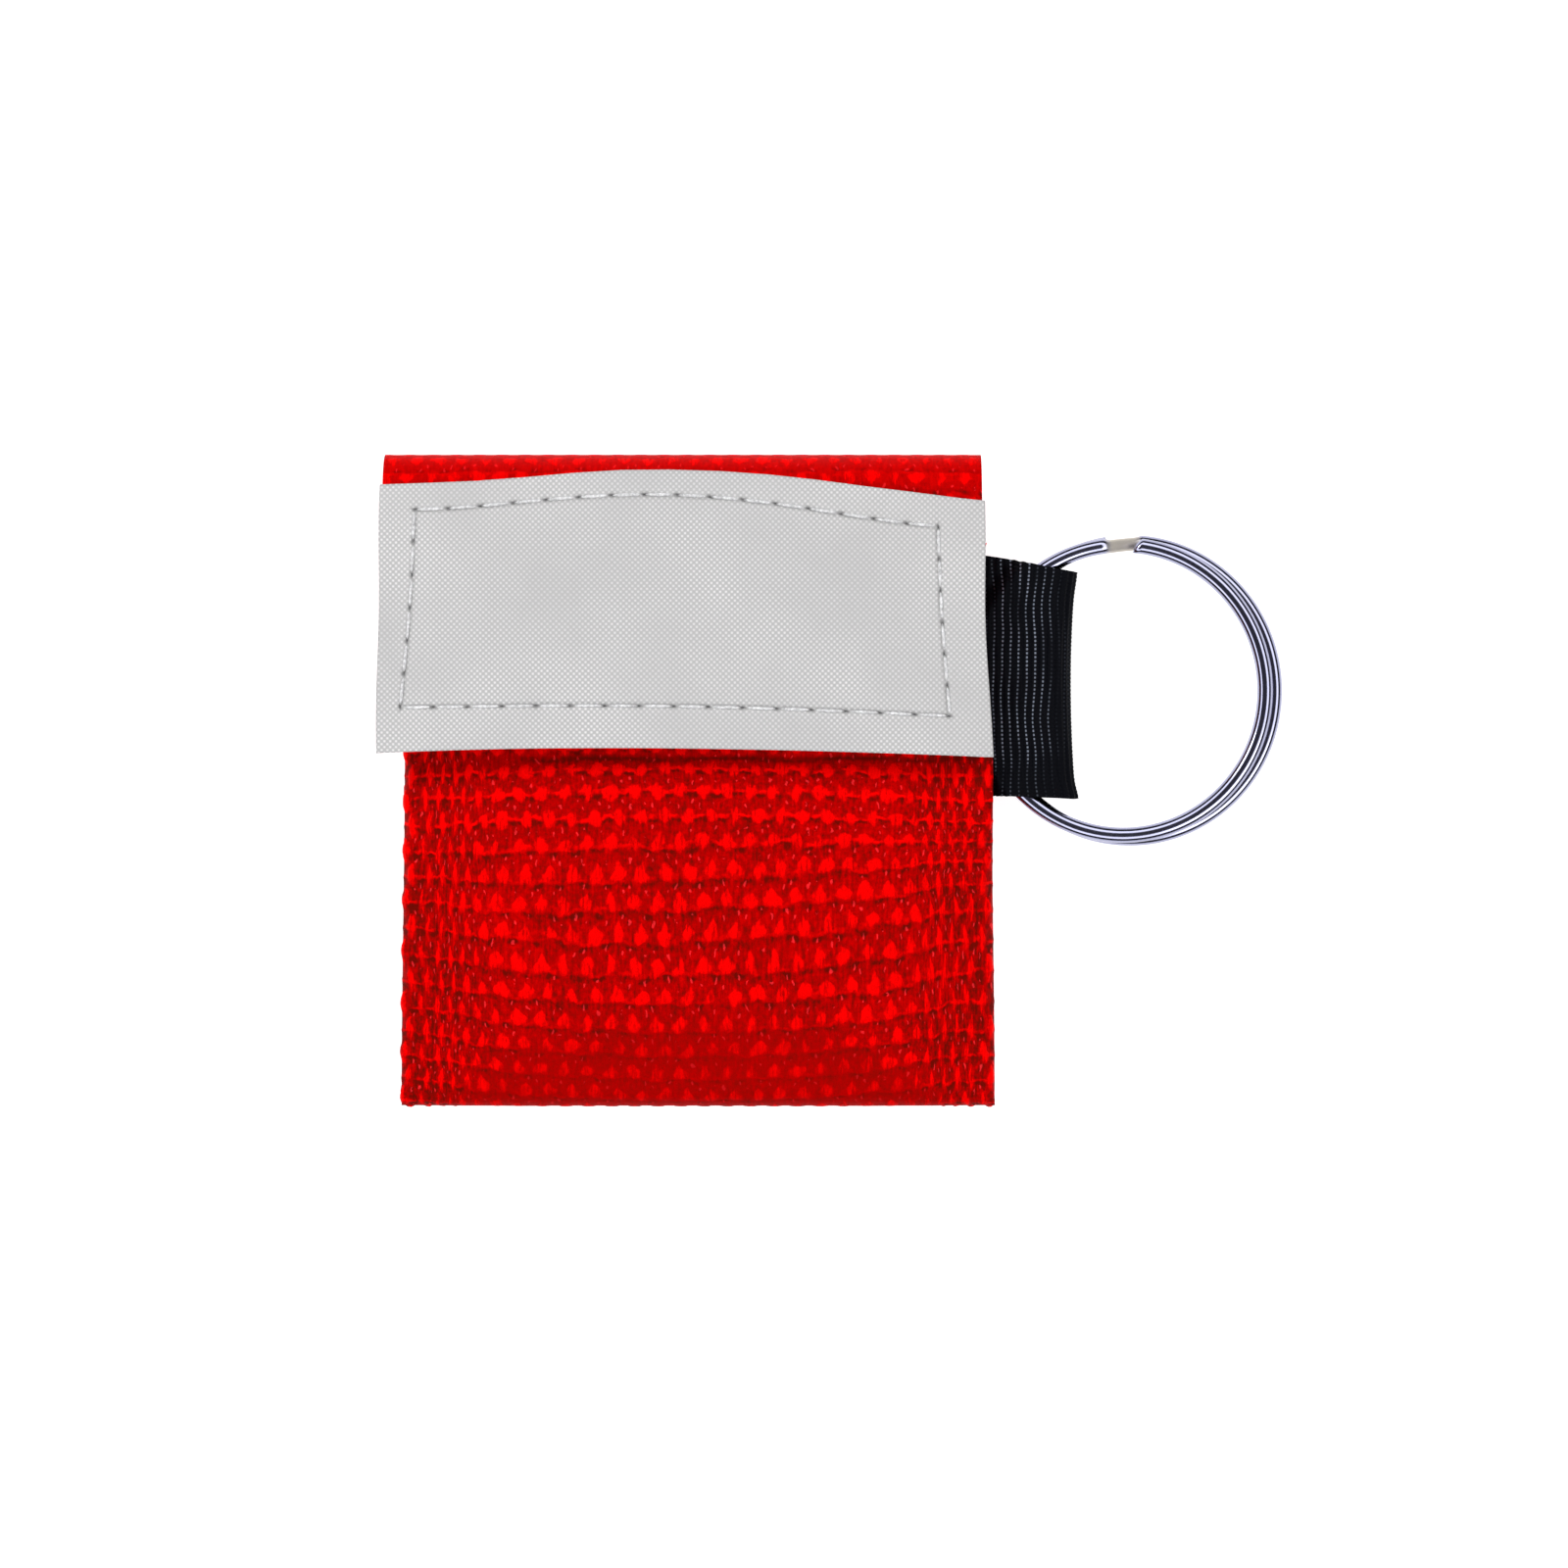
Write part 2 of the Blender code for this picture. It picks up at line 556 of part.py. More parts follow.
def make_contents(film, plastic, rubber, felt, elastic):
    middle = PACK_LOW_Y + PACK_HEIGHT / 2
    size = (PACK_WIDTH, PACK_HEIGHT, PACK_THICK)
    rounding = min(PACK_ROUNDING, PACK_THICK * 0.45)
    rounded_block("barrier_film", size, (0, middle, PACK_BASE + PACK_THICK / 2), rounding, film)
    base = PACK_BASE + PACK_THICK + GAP
    inner = VALVE_RADIUS - VALVE_WALL
    lip = VALVE_FLANGE_WALL
    housing = [
        (VALVE_RADIUS, VALVE_HEIGHT),
        (VALVE_RADIUS, lip),
        (VALVE_FLANGE_RADIUS, lip),
        (VALVE_FLANGE_RADIUS, 0.0),
        (VALVE_BORE_RADIUS, 0.0),
        (VALVE_BORE_RADIUS, lip),
        (inner, lip),
        (inner, VALVE_HEIGHT),
    ]
    turned("valve_housing", housing, (0, middle, base), plastic)
    disc = inner - GAP
    low = lip + GAP
    membrane = [(0.0, low + MEMBRANE_WALL), (disc, low + MEMBRANE_WALL), (disc, low), (0.0, low)]
    turned("valve_membrane", membrane, (0, middle, base), rubber)
    low += MEMBRANE_WALL + GAP
    pad = [(0.0, low + FILTER_WALL), (disc, low + FILTER_WALL), (disc, low), (0.0, low)]
    turned("filter_disc", pad, (0, middle, base), felt)
    for side, word in ((-1, "left"), (1, "right")):
        centre = side * (VALVE_FLANGE_RADIUS + EAR_LOOP_CLEARANCE + EAR_LOOP + EAR_LOOP_WIDTH / 2)
        straight = EAR_LOOP_LENGTH / 2 - EAR_LOOP_WIDTH / 2
        turn = np.linspace(0, math.pi, 9)
        x = np.concatenate([np.cos(turn), -np.cos(turn)]) * EAR_LOOP_WIDTH / 2 + centre
        bend = np.sin(turn) * EAR_LOOP_WIDTH / 2
        y = np.concatenate([straight + bend, -straight - bend])
        z = np.full_like(x, base + EAR_LOOP / 2)
        wire(f"ear_loop_{word}", np.stack([x, y + middle, z], axis=-1), EAR_LOOP / 2, elastic, True)


def main():
    for old in list(bpy.data.objects):
        bpy.data.objects.remove(old, do_unlink=True)
    bpy.context.scene.collection.children.link(parts)
    bpy.context.scene.collection.children.link(cutters)
    cutters.hide_render = True
    red = material("red_webbing", (0.55, 0.0, 0.0), 0.55)
    grey = material("grey_oxford_cloth", (0.64, 0.64, 0.64), 0.7)
    pale = material("grey_thread", (0.6, 0.6, 0.6), 0.6)
    red_thread = material("red_thread", (0.4, 0.0, 0.0), 0.6)
    black = material("black_grosgrain", (0.004, 0.005, 0.009), 0.6)
    dark = material("hook_and_loop", (0.02, 0.02, 0.02), 0.8)
    nickel = material("nickel", (0.75, 0.75, 0.78), 0.15, 1.0)
    film = material("clear_film", (0.8, 0.85, 0.9), 0.3)
    plastic = material("white_plastic", (0.8, 0.8, 0.8), 0.4)
    rubber = material("silicone", (0.7, 0.75, 0.8), 0.4)
    felt = material("filter_felt", (0.85, 0.85, 0.85), 0.9)
    make_pouch_strip(red)
    make_side_seams(red, red_thread)
    make_flap_strip(red)
    make_label(grey)
    label_seam(pale)
    make_tapes(dark, dark)
    make_tab(black)
    make_tab_thread(black)
    make_ring(nickel)
    make_contents(film, plastic, rubber, felt, pale)


main()
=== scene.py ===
"""Looks of a key-ring pouch: red webbing, a grey cloth label, a black ribbed tab and a nickel split ring."""

import functools
import json
import math

import bmesh
import bpy
import numpy as np
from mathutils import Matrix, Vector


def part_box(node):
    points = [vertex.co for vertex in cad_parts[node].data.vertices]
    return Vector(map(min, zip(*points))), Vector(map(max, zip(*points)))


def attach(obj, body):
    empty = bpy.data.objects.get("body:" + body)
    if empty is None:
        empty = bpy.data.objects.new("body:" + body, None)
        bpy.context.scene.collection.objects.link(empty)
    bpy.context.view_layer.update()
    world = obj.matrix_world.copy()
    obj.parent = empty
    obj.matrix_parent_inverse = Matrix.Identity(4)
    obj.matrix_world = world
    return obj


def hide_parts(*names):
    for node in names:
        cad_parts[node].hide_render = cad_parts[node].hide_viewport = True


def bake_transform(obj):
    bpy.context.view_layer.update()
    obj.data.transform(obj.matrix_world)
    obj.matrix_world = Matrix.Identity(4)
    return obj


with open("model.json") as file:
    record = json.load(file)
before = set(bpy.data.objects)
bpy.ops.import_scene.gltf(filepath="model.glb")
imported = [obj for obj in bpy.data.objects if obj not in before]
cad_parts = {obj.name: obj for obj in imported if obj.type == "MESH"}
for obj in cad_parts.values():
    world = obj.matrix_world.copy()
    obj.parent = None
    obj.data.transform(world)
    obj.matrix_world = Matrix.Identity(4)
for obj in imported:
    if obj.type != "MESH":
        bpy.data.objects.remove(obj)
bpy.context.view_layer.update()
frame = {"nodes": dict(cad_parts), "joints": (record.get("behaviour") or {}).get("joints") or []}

bl_info = {
    "name": "Key Ring Pouch",
    "version": (1, 0, 0),
    "blender": (4, 5, 0),
    "location": "View3D > Sidebar > Pouch",
    "description": "Webbing, label, tab, split ring and contents of a key-ring pouch",
    "category": "Object",
}

MM = 0.001
JOINTS = {joint["name"]: joint for joint in frame["joints"]}

# Places that the frame gives
HINGE_Z = JOINTS["flap_hinge"]["pos_m"][2]
TOP = JOINTS["flap_hinge"]["pos_m"][1]
RING_MID = np.array(JOINTS["ring_spin"]["pos_m"])
RING_AXIS = np.array(JOINTS["ring_spin"]["axis"])
RING_TILT = math.atan2(RING_AXIS[0], RING_AXIS[2])
TAB_HINGE = np.array(JOINTS["tab_flex"]["pos_m"])
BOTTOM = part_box("pouch_strip")[0].y
FLAP_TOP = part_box("flap_strip")[1].z
TAB_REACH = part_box("tab_webbing")[1].x
TAB_LOW_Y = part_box("tab_webbing")[0].y
TAB_HIGH_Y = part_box("tab_webbing")[1].y
FLAP_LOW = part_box("flap_strip")[0]
FLAP_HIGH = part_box("flap_strip")[1]
LABEL_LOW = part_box("flap_label")[0]
LABEL_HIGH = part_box("flap_label")[1]

# The pouch's form, as in the frame
HALF = 25.0 * MM
WALL = 1.1 * MM
SEAM_HEIGHT = 4.4 * MM
EDGE_HALF = 1.6 * MM
FRONT_BULGE = 2.3 * MM
BACK_BULGE = 3.0 * MM
BULGE_POWER = 5.0
MOUTH = TOP - 7.5 * MM
BOTTOM_FOLD = 2.0 * MM
FOLD_LINE = BOTTOM + BOTTOM_FOLD
BOTTOM_TAPER = 14.5 * MM
BOTTOM_SHARE = 0.2
TOP_FOLD = 5.5 * MM
FOLD_START = TOP - TOP_FOLD
FOLD_POWER = 2.6
FLAP_ARCH = 1.2 * MM
FLAP_SHIFT = (FLAP_LOW.x + FLAP_HIGH.x) / 2
FLAP_HALF = (FLAP_HIGH.x - FLAP_LOW.x) / 2
TAB_LIFT = 2.3 * MM
TAB_DROP = 1.9 * MM
TAB_LIFT_FLAT = 6.5 * MM
TAB_LIFT_END = 18.0 * MM
TAB_LIFT_WIDTH = 5.5 * MM

# Where the cloth differs from that form: the ply between the yarns, the roll at the walls' side edges, the slack that
# lets the bottom fold reach lower, and what the flap is narrower by at each side
PLY = 1.0 * MM
SIDE_ROLL = 1.2 * MM
FOLD_SLACK = 0.3 * MM
FLAP_TRIM = 0.35 * MM

# The label's seam: corners of its line of stitches, from its upper left clockwise, and how far the lines bow
SEAM_CORNERS = np.array([(-23.7, 22.6), (20.2, 21.2), (21.2, 5.3), (-24.9, 6.0)]) * MM
SEAM_CROWN = 1.9 * MM
SEAM_BOW = 0.45 * MM
# Places across the label from its left edge, as shares of its width, and Y of its upper edge there: level, then
# over a low crown, then falling to the right
LABEL_SHARES = np.array([0.0, 0.08, 0.16, 0.24, 0.32, 0.4, 0.48, 0.56, 0.64, 0.72, 0.8, 0.88, 0.96, 1.0])
LABEL_TOPS = (
    np.array([24.74, 24.85, 25.0, 25.3, 25.68, 25.94, 25.97, 25.85, 25.55, 25.1, 24.55, 24.05, 23.55, 23.37]) * MM
)
LABEL_STEP = 0.166 * MM
LABEL_WALL = 0.3 * MM
LABEL_LIFT = 0.55 * MM

# The tab: half its thickness at the nose and where its plies meet, and its mesh's own ply
TAB_WIDTH = 20.0 * MM
TAB_NOSE = 1.85 * MM
TAB_FLAT_HALF = 0.65 * MM
TAB_PLY = 0.35 * MM
# Distance from the ring's middle past which the plies lie together
RING_ROOM = 14.95 * MM

# The ring: its upper turn's radius and what the lower turn's is wider by, the height between its turns, how far they
# stand apart sideways, half the wire's width and height, and where the turns step past each other
RING_RADIUS = 12.36 * MM
RING_LOWER_WIDER = 0.26 * MM
RING_PITCH = 1.24 * MM
RING_ASIDE = 0.75 * MM
RING_LOWER_ASIDE = 0.1 * MM
RING_WIRE_WIDE = 0.66 * MM
RING_WIRE_TALL = 0.585 * MM
RING_WIRE_POWER = 2 / 2.2
RING_STEP_START = math.radians(85.5)
RING_STEP_ANGLE = math.radians(12.5)

# The red weave: how far every other row is shifted, in columns, and how low its cross yarn lies, in rows
STAGGER = 0.33
LINE_DROP = 0.2
# Place of the ground's colour on the scale from the painted shade between the yarns to the painted highlight on their
# tops
GROUND_PLACE = 0.26
# The inputs of a Mix node between its factor and its two colours, left as they are
TO_COLOURS = [None] * 5
# Y of the rows of the front wall's weave at three places across it, top row first, as a woven strip that is pulled
# down in its middle: each next row is one row number lower
ROW_PLACES = np.array([-23.3, 0.0, 17.7]) * MM
ROW_GAP = 2.1 * MM
ROWS_LEFT, ROWS_MIDDLE, ROWS_RIGHT = (
    np.array(
        [
            (4.6, 2.46, 0.33, -1.8, -3.93, -6.06, -8.2, -10.3, -12.5, -14.7, -17.0, -19.2, -21.3, -23.3, -25.3, -27.3),
            (4.7, 2.75, 0.9, -0.95, -3.06, -5.35, -7.8, -10.4, -13.1, -16.0, -18.5, -20.9, -23.0, -25.0, -26.8, -28.5),
            (4.5, 2.5, 0.45, -1.5, -3.4, -5.2, -7.0, -9.1, -11.4, -14.1, -16.8, -19.4, -21.7, -23.8, -26.0, -28.0),
        ]
    )
    * MM
)


def linear(code):
    """Linear RGBA of an sRGB hex colour such as "d2d2d2"."""
    parts = [int(code[i : i + 2], 16) / 255 for i in (0, 2, 4)]
    return (*[c / 12.92 if c <= 0.04045 else ((c + 0.055) / 1.055) ** 2.4 for c in parts], 1.0)


def tone(colour, amount):
    """RGBA of a linear colour made lighter or darker by a factor."""
    return (*[min(1.0, part * amount) for part in colour[:3]], 1.0)


class PouchSizes(bpy.types.PropertyGroup):
    """Sizes of the weaves and seams."""

    row_pitch: bpy.props.FloatProperty(
        name="Row pitch", description="Distance between two rows of the red weave", default=2.2 * MM, unit="LENGTH"
    )
    column_pitch: bpy.props.FloatProperty(
        name="Column pitch", description="Distance between two yarns of the red weave", default=1.95 * MM, unit="LENGTH"
    )
    weave_relief: bpy.props.FloatProperty(
        name="Weave relief", description="Height of a red yarn over its neighbours", default=0.16 * MM, unit="LENGTH"
    )
    grid_step: bpy.props.FloatProperty(
        name="Grid step", description="Distance between two points of a webbing mesh", default=0.24 * MM, unit="LENGTH"
    )
    cloth_pitch: bpy.props.FloatProperty(
        name="Cloth pitch", description="Distance between two threads of the cloth", default=0.49 * MM, unit="LENGTH"
    )
    stitch_pitch: bpy.props.FloatProperty(
        name="Stitch pitch", description="Length of one stitch with its hole", default=2.8 * MM, unit="LENGTH"
    )
    rib_pitch: bpy.props.FloatProperty(
        name="Rib pitch", description="Distance between two ribs of the tab", default=0.69 * MM, unit="LENGTH"
    )


class PouchColours(bpy.types.PropertyGroup):
    """Colours of the pouch's materials, in linear light."""

    # painted shade: the red between the yarns
    red_painted_shade: bpy.props.FloatVectorProperty(
        name="Red, deep", description="Red between the yarns", subtype="COLOR", size=3, default=linear("700a03")[:3]
    )
    # painted highlight: the red on top of the yarns
    red_painted_highlight: bpy.props.FloatVectorProperty(
        name="Red, bright", description="Red on top of the yarns", subtype="COLOR", size=3, default=linear("ff0000")[:3]
    )
    cloth: bpy.props.FloatVectorProperty(
        name="Label cloth", description="Grey of the label", subtype="COLOR", size=3, default=linear("cdcccb")[:3]
    )
    tab: bpy.props.FloatVectorProperty(
        name="Tab", description="Black of the tab", subtype="COLOR", size=3, default=linear("04050b")[:3]
    )


def smooth(value):
    """0 below 0, 1 above 1, and an S-shaped rise 3t^2 - 2t^3 between."""
    part = np.clip(value, 0.0, 1.0)
    return part * part * (3 - 2 * part)


# ---------------------------------------------------------------- surfaces


def crown(x):
    """Fullness across the pouch: 1 - |x / half width|^5."""
    return 1 - np.minimum(np.abs(x) / HALF, 1.0) ** BULGE_POWER


def fullness(y):
    """Fullness along the pouch: an S-shaped rise from the bottom fold."""
    return BOTTOM_SHARE + (1 - BOTTOM_SHARE) * smooth((y - BOTTOM) / BOTTOM_TAPER)


def spread(x, y):
    """How far the ring inside the tab parts the walls at the right seam: a cosine bump along it, an S across."""
    along = np.abs(y - RING_MID[1])
    fall = np.clip((along - TAB_LIFT_FLAT) / (TAB_LIFT_END - TAB_LIFT_FLAT), 0.0, 1.0)
    return smooth((x - HALF + TAB_LIFT_WIDTH) / TAB_LIFT_WIDTH) * (0.5 + 0.5 * np.cos(math.pi * fall))


def front_z(x, y):
    """Height of the outside of the front wall: seam height plus the two fullnesses plus the tab's bump."""
    return SEAM_HEIGHT + EDGE_HALF + FRONT_BULGE * crown(x) * fullness(y) + TAB_LIFT * spread(x, y)


def back_z(x, y):
    """Height of the outside of the back wall, flat at 0 where the pouch rests."""
    low = SEAM_HEIGHT - EDGE_HALF - BACK_BULGE * crown(x) * fullness(y) - TAB_DROP * spread(x, y)
    return np.maximum(low, 0.0)


def flap_z(x):
    """Height of the outside of the flap before its fold: flat, falling off with the fourth power of x."""
    return FLAP_TOP - FLAP_ARCH * ((x - FLAP_SHIFT) / FLAP_HALF) ** 4


def top_z(x, y):
    """Height of the outside of the flap, down over its fold along a superellipse."""
    along = np.clip((y - FOLD_START) / TOP_FOLD, 0.0, 0.999)
    return HINGE_Z + (flap_z(x) - HINGE_Z) * (1 - along**FOLD_POWER) ** (1 / FOLD_POWER)


def flap_end(x):
    """Y of the flap's free edge: a parabola that bows up in the middle."""
    return FLAP_LOW.y + 0.6 * MM * (1 - ((x - FLAP_SHIFT) / FLAP_HALF) ** 2)


def side_columns(step):
    """Places across a wall from one side to the other: even, and then closer together round the rolled edges."""
    turn = np.radians(np.linspace(0, 90, 7))[1:]
    flat = HALF - SIDE_ROLL
    even = np.linspace(-flat, flat, int(round(2 * flat / step)))
    edge = flat + SIDE_ROLL * np.sin(turn)
    return np.concatenate([-edge[::-1], even, edge])


def side_roll(x, y):
    """How far a wall turns in towards the seam at its sides: a quarter circle of radius SIDE_ROLL, lower at the tab."""
    share = np.clip((np.abs(x) - HALF + SIDE_ROLL) / SIDE_ROLL, 0.0, 1.0)
    return SIDE_ROLL * (1 - np.sqrt(1 - share**2)) * (1 - 0.7 * spread(x, y))


def facing(points):
    """Unit normals of a grid of points: the cross product of its two differences."""
    across = np.gradient(points, axis=1)
    along = np.gradient(points, axis=0)
    normal = np.cross(along, across)
    return normal / np.maximum(np.linalg.norm(normal, axis=-1, keepdims=True), 1e-12)


def add_mesh(name, points, faces, uv=None, values=None):
    """Mesh object from flat arrays of points and quads, with a UV map in metres and named point values."""
    mesh = bpy.data.meshes.new(name)
    mesh.vertices.add(len(points))
    mesh.vertices.foreach_set("co", np.ascontiguousarray(points, np.float32).ravel())
    mesh.loops.add(faces.size)
    mesh.loops.foreach_set("vertex_index", np.ascontiguousarray(faces, np.int32).ravel())
    mesh.polygons.add(len(faces))
    mesh.polygons.foreach_set("loop_start", np.arange(0, faces.size, faces.shape[1], dtype=np.int32))
    mesh.update(calc_edges=True)
    if uv is not None:
        layer = mesh.uv_layers.new(name="UVMap")
        layer.data.foreach_set("uv", np.ascontiguousarray(uv[faces.ravel()], np.float32).ravel())
    for key, value in (values or {}).items():
        attribute = mesh.attributes.new(key, "FLOAT", "POINT")
        attribute.data.foreach_set("value", np.ascontiguousarray(value, np.float32).ravel())
    mesh.validate()
    mesh.shade_smooth()
    made = bpy.data.objects.new(name, mesh)
    bpy.context.scene.collection.objects.link(made)
    return made


def grid_faces(rows, columns, offset=0):
    """Quads over a grid of rows and columns, wound so that facing() points out."""
    corner = (np.arange(rows - 1)[:, None] * columns + np.arange(columns - 1)).ravel() + offset
    return np.stack([corner, corner + columns, corner + columns + 1, corner + 1], axis=-1)


def closed_sheet(outer, inner):
    """Points and faces of a closed sheet: the outer grid, the inner grid turned round, and a rim that joins them."""
    rows, columns = outer.shape[:2]
    count = rows * columns
    faces = grid_faces(rows, columns)
    index = np.arange(count).reshape(rows, columns)
    rim = np.concatenate([index[0, :-1], index[:-1, -1], index[-1, :0:-1], index[:0:-1, 0]])
    after = np.roll(rim, -1)
    sides = np.stack([rim, after, after + count, rim + count], axis=-1)
    faces = np.concatenate([faces, faces[:, ::-1] + count, sides])
    return np.concatenate([outer.reshape(-1, 3), inner.reshape(-1, 3)]), faces


def shell(name, outer, inner, uv, values=None):
    """A closed sheet as a mesh object, with the same UV and point values on both of its sides."""
    points, faces = closed_sheet(outer, inner)
    flat = np.concatenate([uv.reshape(-1, 2)] * 2)
    values = {key: np.concatenate([value.ravel()] * 2) for key, value in (values or {}).items()}
    return add_mesh(name, points, faces, flat, values)


def tube_faces(count, length, sides):
    """Quads between each ring of points and the next along count tubes of length rings, each of sides points."""
    start = (np.arange(count)[:, None, None] * length + np.arange(length - 1)[:, None]) * sides
    here = start + np.arange(sides)
    beside = start + (np.arange(sides) + 1) % sides
    return np.stack([here, beside, beside + sides, here + sides], axis=-1).reshape(-1, 4)


def tubes(name, paths, radii, sides):
    """Round tubes along paths (tubes, points, 3) with radii (tubes, points): each ring of points stands square to its
    path, and the first and last rings close to a point."""
    ahead = np.gradient(paths, axis=1)
    ahead /= np.maximum(np.linalg.norm(ahead, axis=-1, keepdims=True), 1e-12)
    helper = np.where(np.abs(ahead[..., 2:3]) > 0.9, [1.0, 0.0, 0.0], [0.0, 0.0, 1.0])
    side = np.cross(ahead, helper)
    side /= np.maximum(np.linalg.norm(side, axis=-1, keepdims=True), 1e-12)
    up = np.cross(side, ahead)
    angle = np.arange(sides) * math.tau / sides
    ring = side[..., None, :] * np.cos(angle)[:, None] + up[..., None, :] * np.sin(angle)[:, None]
    points = paths[..., None, :] + ring * radii[..., None, None]
    count, length = paths.shape[:2]
    faces = tube_faces(count, length, sides)
    along = np.broadcast_to(np.arange(length)[None, :, None], (count, length, sides))
    around = np.broadcast_to(np.arange(sides)[None, None, :], (count, length, sides))
    uv = np.stack([along / length, around / sides], axis=-1).reshape(-1, 2)
    return add_mesh(name, points.reshape(-1, 3), faces, uv)


def close_ends(piece):
    """Joins the points that each tube's ends shrink to, so that they are closed."""
    work = bmesh.new()
    work.from_mesh(piece.data)
    bmesh.ops.remove_doubles(work, verts=work.verts, dist=1e-7)
    bmesh.ops.recalc_face_normals(work, faces=work.faces)
    work.to_mesh(piece.data)
    work.free()
    piece.data.shade_smooth()


def stitch_row(name, lines, height, radius):
    """One tube for each stitch between two points of a line: a low arch over the cloth's height that goes down
    through it at both ends."""
    part = np.linspace(0, 1, 9)
    paths = []
    for line in lines:
        start, end = line[:-1], line[1:]
        place = start[:, None] + (end - start)[:, None] * (0.06 + 0.88 * part)[None, :, None]
        arch = 0.16 * MM * np.sin(math.pi * part) ** 0.5 - 0.16 * MM
        paths.append(np.concatenate([place, (height(place[..., 0], place[..., 1]) + arch)[..., None]], axis=-1))
    paths = np.concatenate(paths)
    radii = np.broadcast_to(radius * np.sin(math.pi * np.clip(part, 0.0, 1.0)) ** 0.35, paths.shape[:2])
    piece = tubes(name, paths, radii, 8)
    close_ends(piece)
    return piece


def soft_strip(name, x_range, y_range, floor, wall, down=False):
    """A flat strip with soft edges: one side at the height floor(x, y) and the other a wall away, above it or, if
    down, below it. Near the edges both draw in along a quarter ellipse."""
    step = 0.3 * MM
    x = np.linspace(*x_range, max(4, int((x_range[1] - x_range[0]) / step)))
    y = np.linspace(*y_range, max(4, int((y_range[1] - y_range[0]) / step)))
    x, y = np.meshgrid(x, y if down else y[::-1])
    edge = np.minimum(np.minimum(x - x_range[0], x_range[1] - x), np.minimum(y - y_range[0], y_range[1] - y))
    soft = np.sqrt(1 - (1 - np.clip(edge / (0.5 * MM), 0, 1)) ** 2)
    base = floor(x, y)
    way = -1 if down else 1
    near = base + way * wall * 0.4 * (1 - soft)
    far = base + way * wall * (0.5 + 0.5 * soft)
    return shell(name, np.stack([x, y, far], axis=-1), np.stack([x, y, near], axis=-1), np.stack([x, y], axis=-1))


# ---------------------------------------------------------------- weave and materials


def weave_height(u, v, fin, spindle):
    """Height of the red weave from 0 to 1 at column u and row v, both in pitches: one tapered yarn float in each
    cell, shifted in every other row, joined by a thin cross yarn. fin flattens the floats' lower ends, and spindle
    makes them tall."""
    row = np.floor(v)
    rise = v - row - 0.5
    column = u + STAGGER * np.mod(row, 2)
    side = column - np.floor(column) - 0.5
    width = (0.33 - 0.35 * fin * rise) * (1 - 0.35 * spindle)
    tall = 0.33 + 0.2 * spindle
    body = 1 - np.abs(side / width) ** 1.7 - np.abs((rise - 0.05 * fin) / tall) ** 1.7
    base = smooth((rise + fin * LINE_DROP + 0.16) / 0.2) * fin + 1 - fin
    float_yarn = smooth(1.6 * body) * base
    cross_yarn = 0.3 * np.exp(-(((rise + LINE_DROP * fin) / 0.09) ** 2))
    return np.maximum(float_yarn, cross_yarn)


def fill(node, values):
    """Fills a node's inputs by number or name: each value is a constant, a socket that feeds the input, or None."""
    for place, value in values.items():
        if isinstance(value, bpy.types.NodeSocket):
            node.id_data.links.new(value, node.inputs[place])
        elif value is not None:
            node.inputs[place].default_value = value


def add_node(tree, kind, *values, output=0, stops=(), **named):
    """Adds a shader node and gives one of its outputs. The word after a dot in kind is its operation, values fill its
    inputs in order, stops are a colour ramp's places and colours, and named holds its own properties and further
    inputs."""
    words = kind.split(".")
    node = tree.nodes.new(f"ShaderNode{words[0]}")
    if len(words) > 1:
        node.operation = words[1]
    for name in [name for name in named if name not in node.inputs]:
        setattr(node, name, named.pop(name))
    fill(node, {**dict(enumerate(values)), **named})
    for element, stop in zip(node.color_ramp.elements if stops else (), (*stops[:1], *stops[-1:])):
        element.position, element.color = stop
    for position, colour in stops[1:-1]:
        node.color_ramp.elements.new(position).color = colour
    return node.outputs[output]


def new_material(name):
    """A new material, the function that adds a node to it, and its shader."""
    made = bpy.data.materials.new(name)
    made.use_nodes = True
    return made, functools.partial(add_node, made.node_tree), made.node_tree.nodes["Principled BSDF"]


def webbing_finish():
    """The red webbing's material, made once."""
    return bpy.data.materials.get("red polypropylene webbing") or red_webbing()


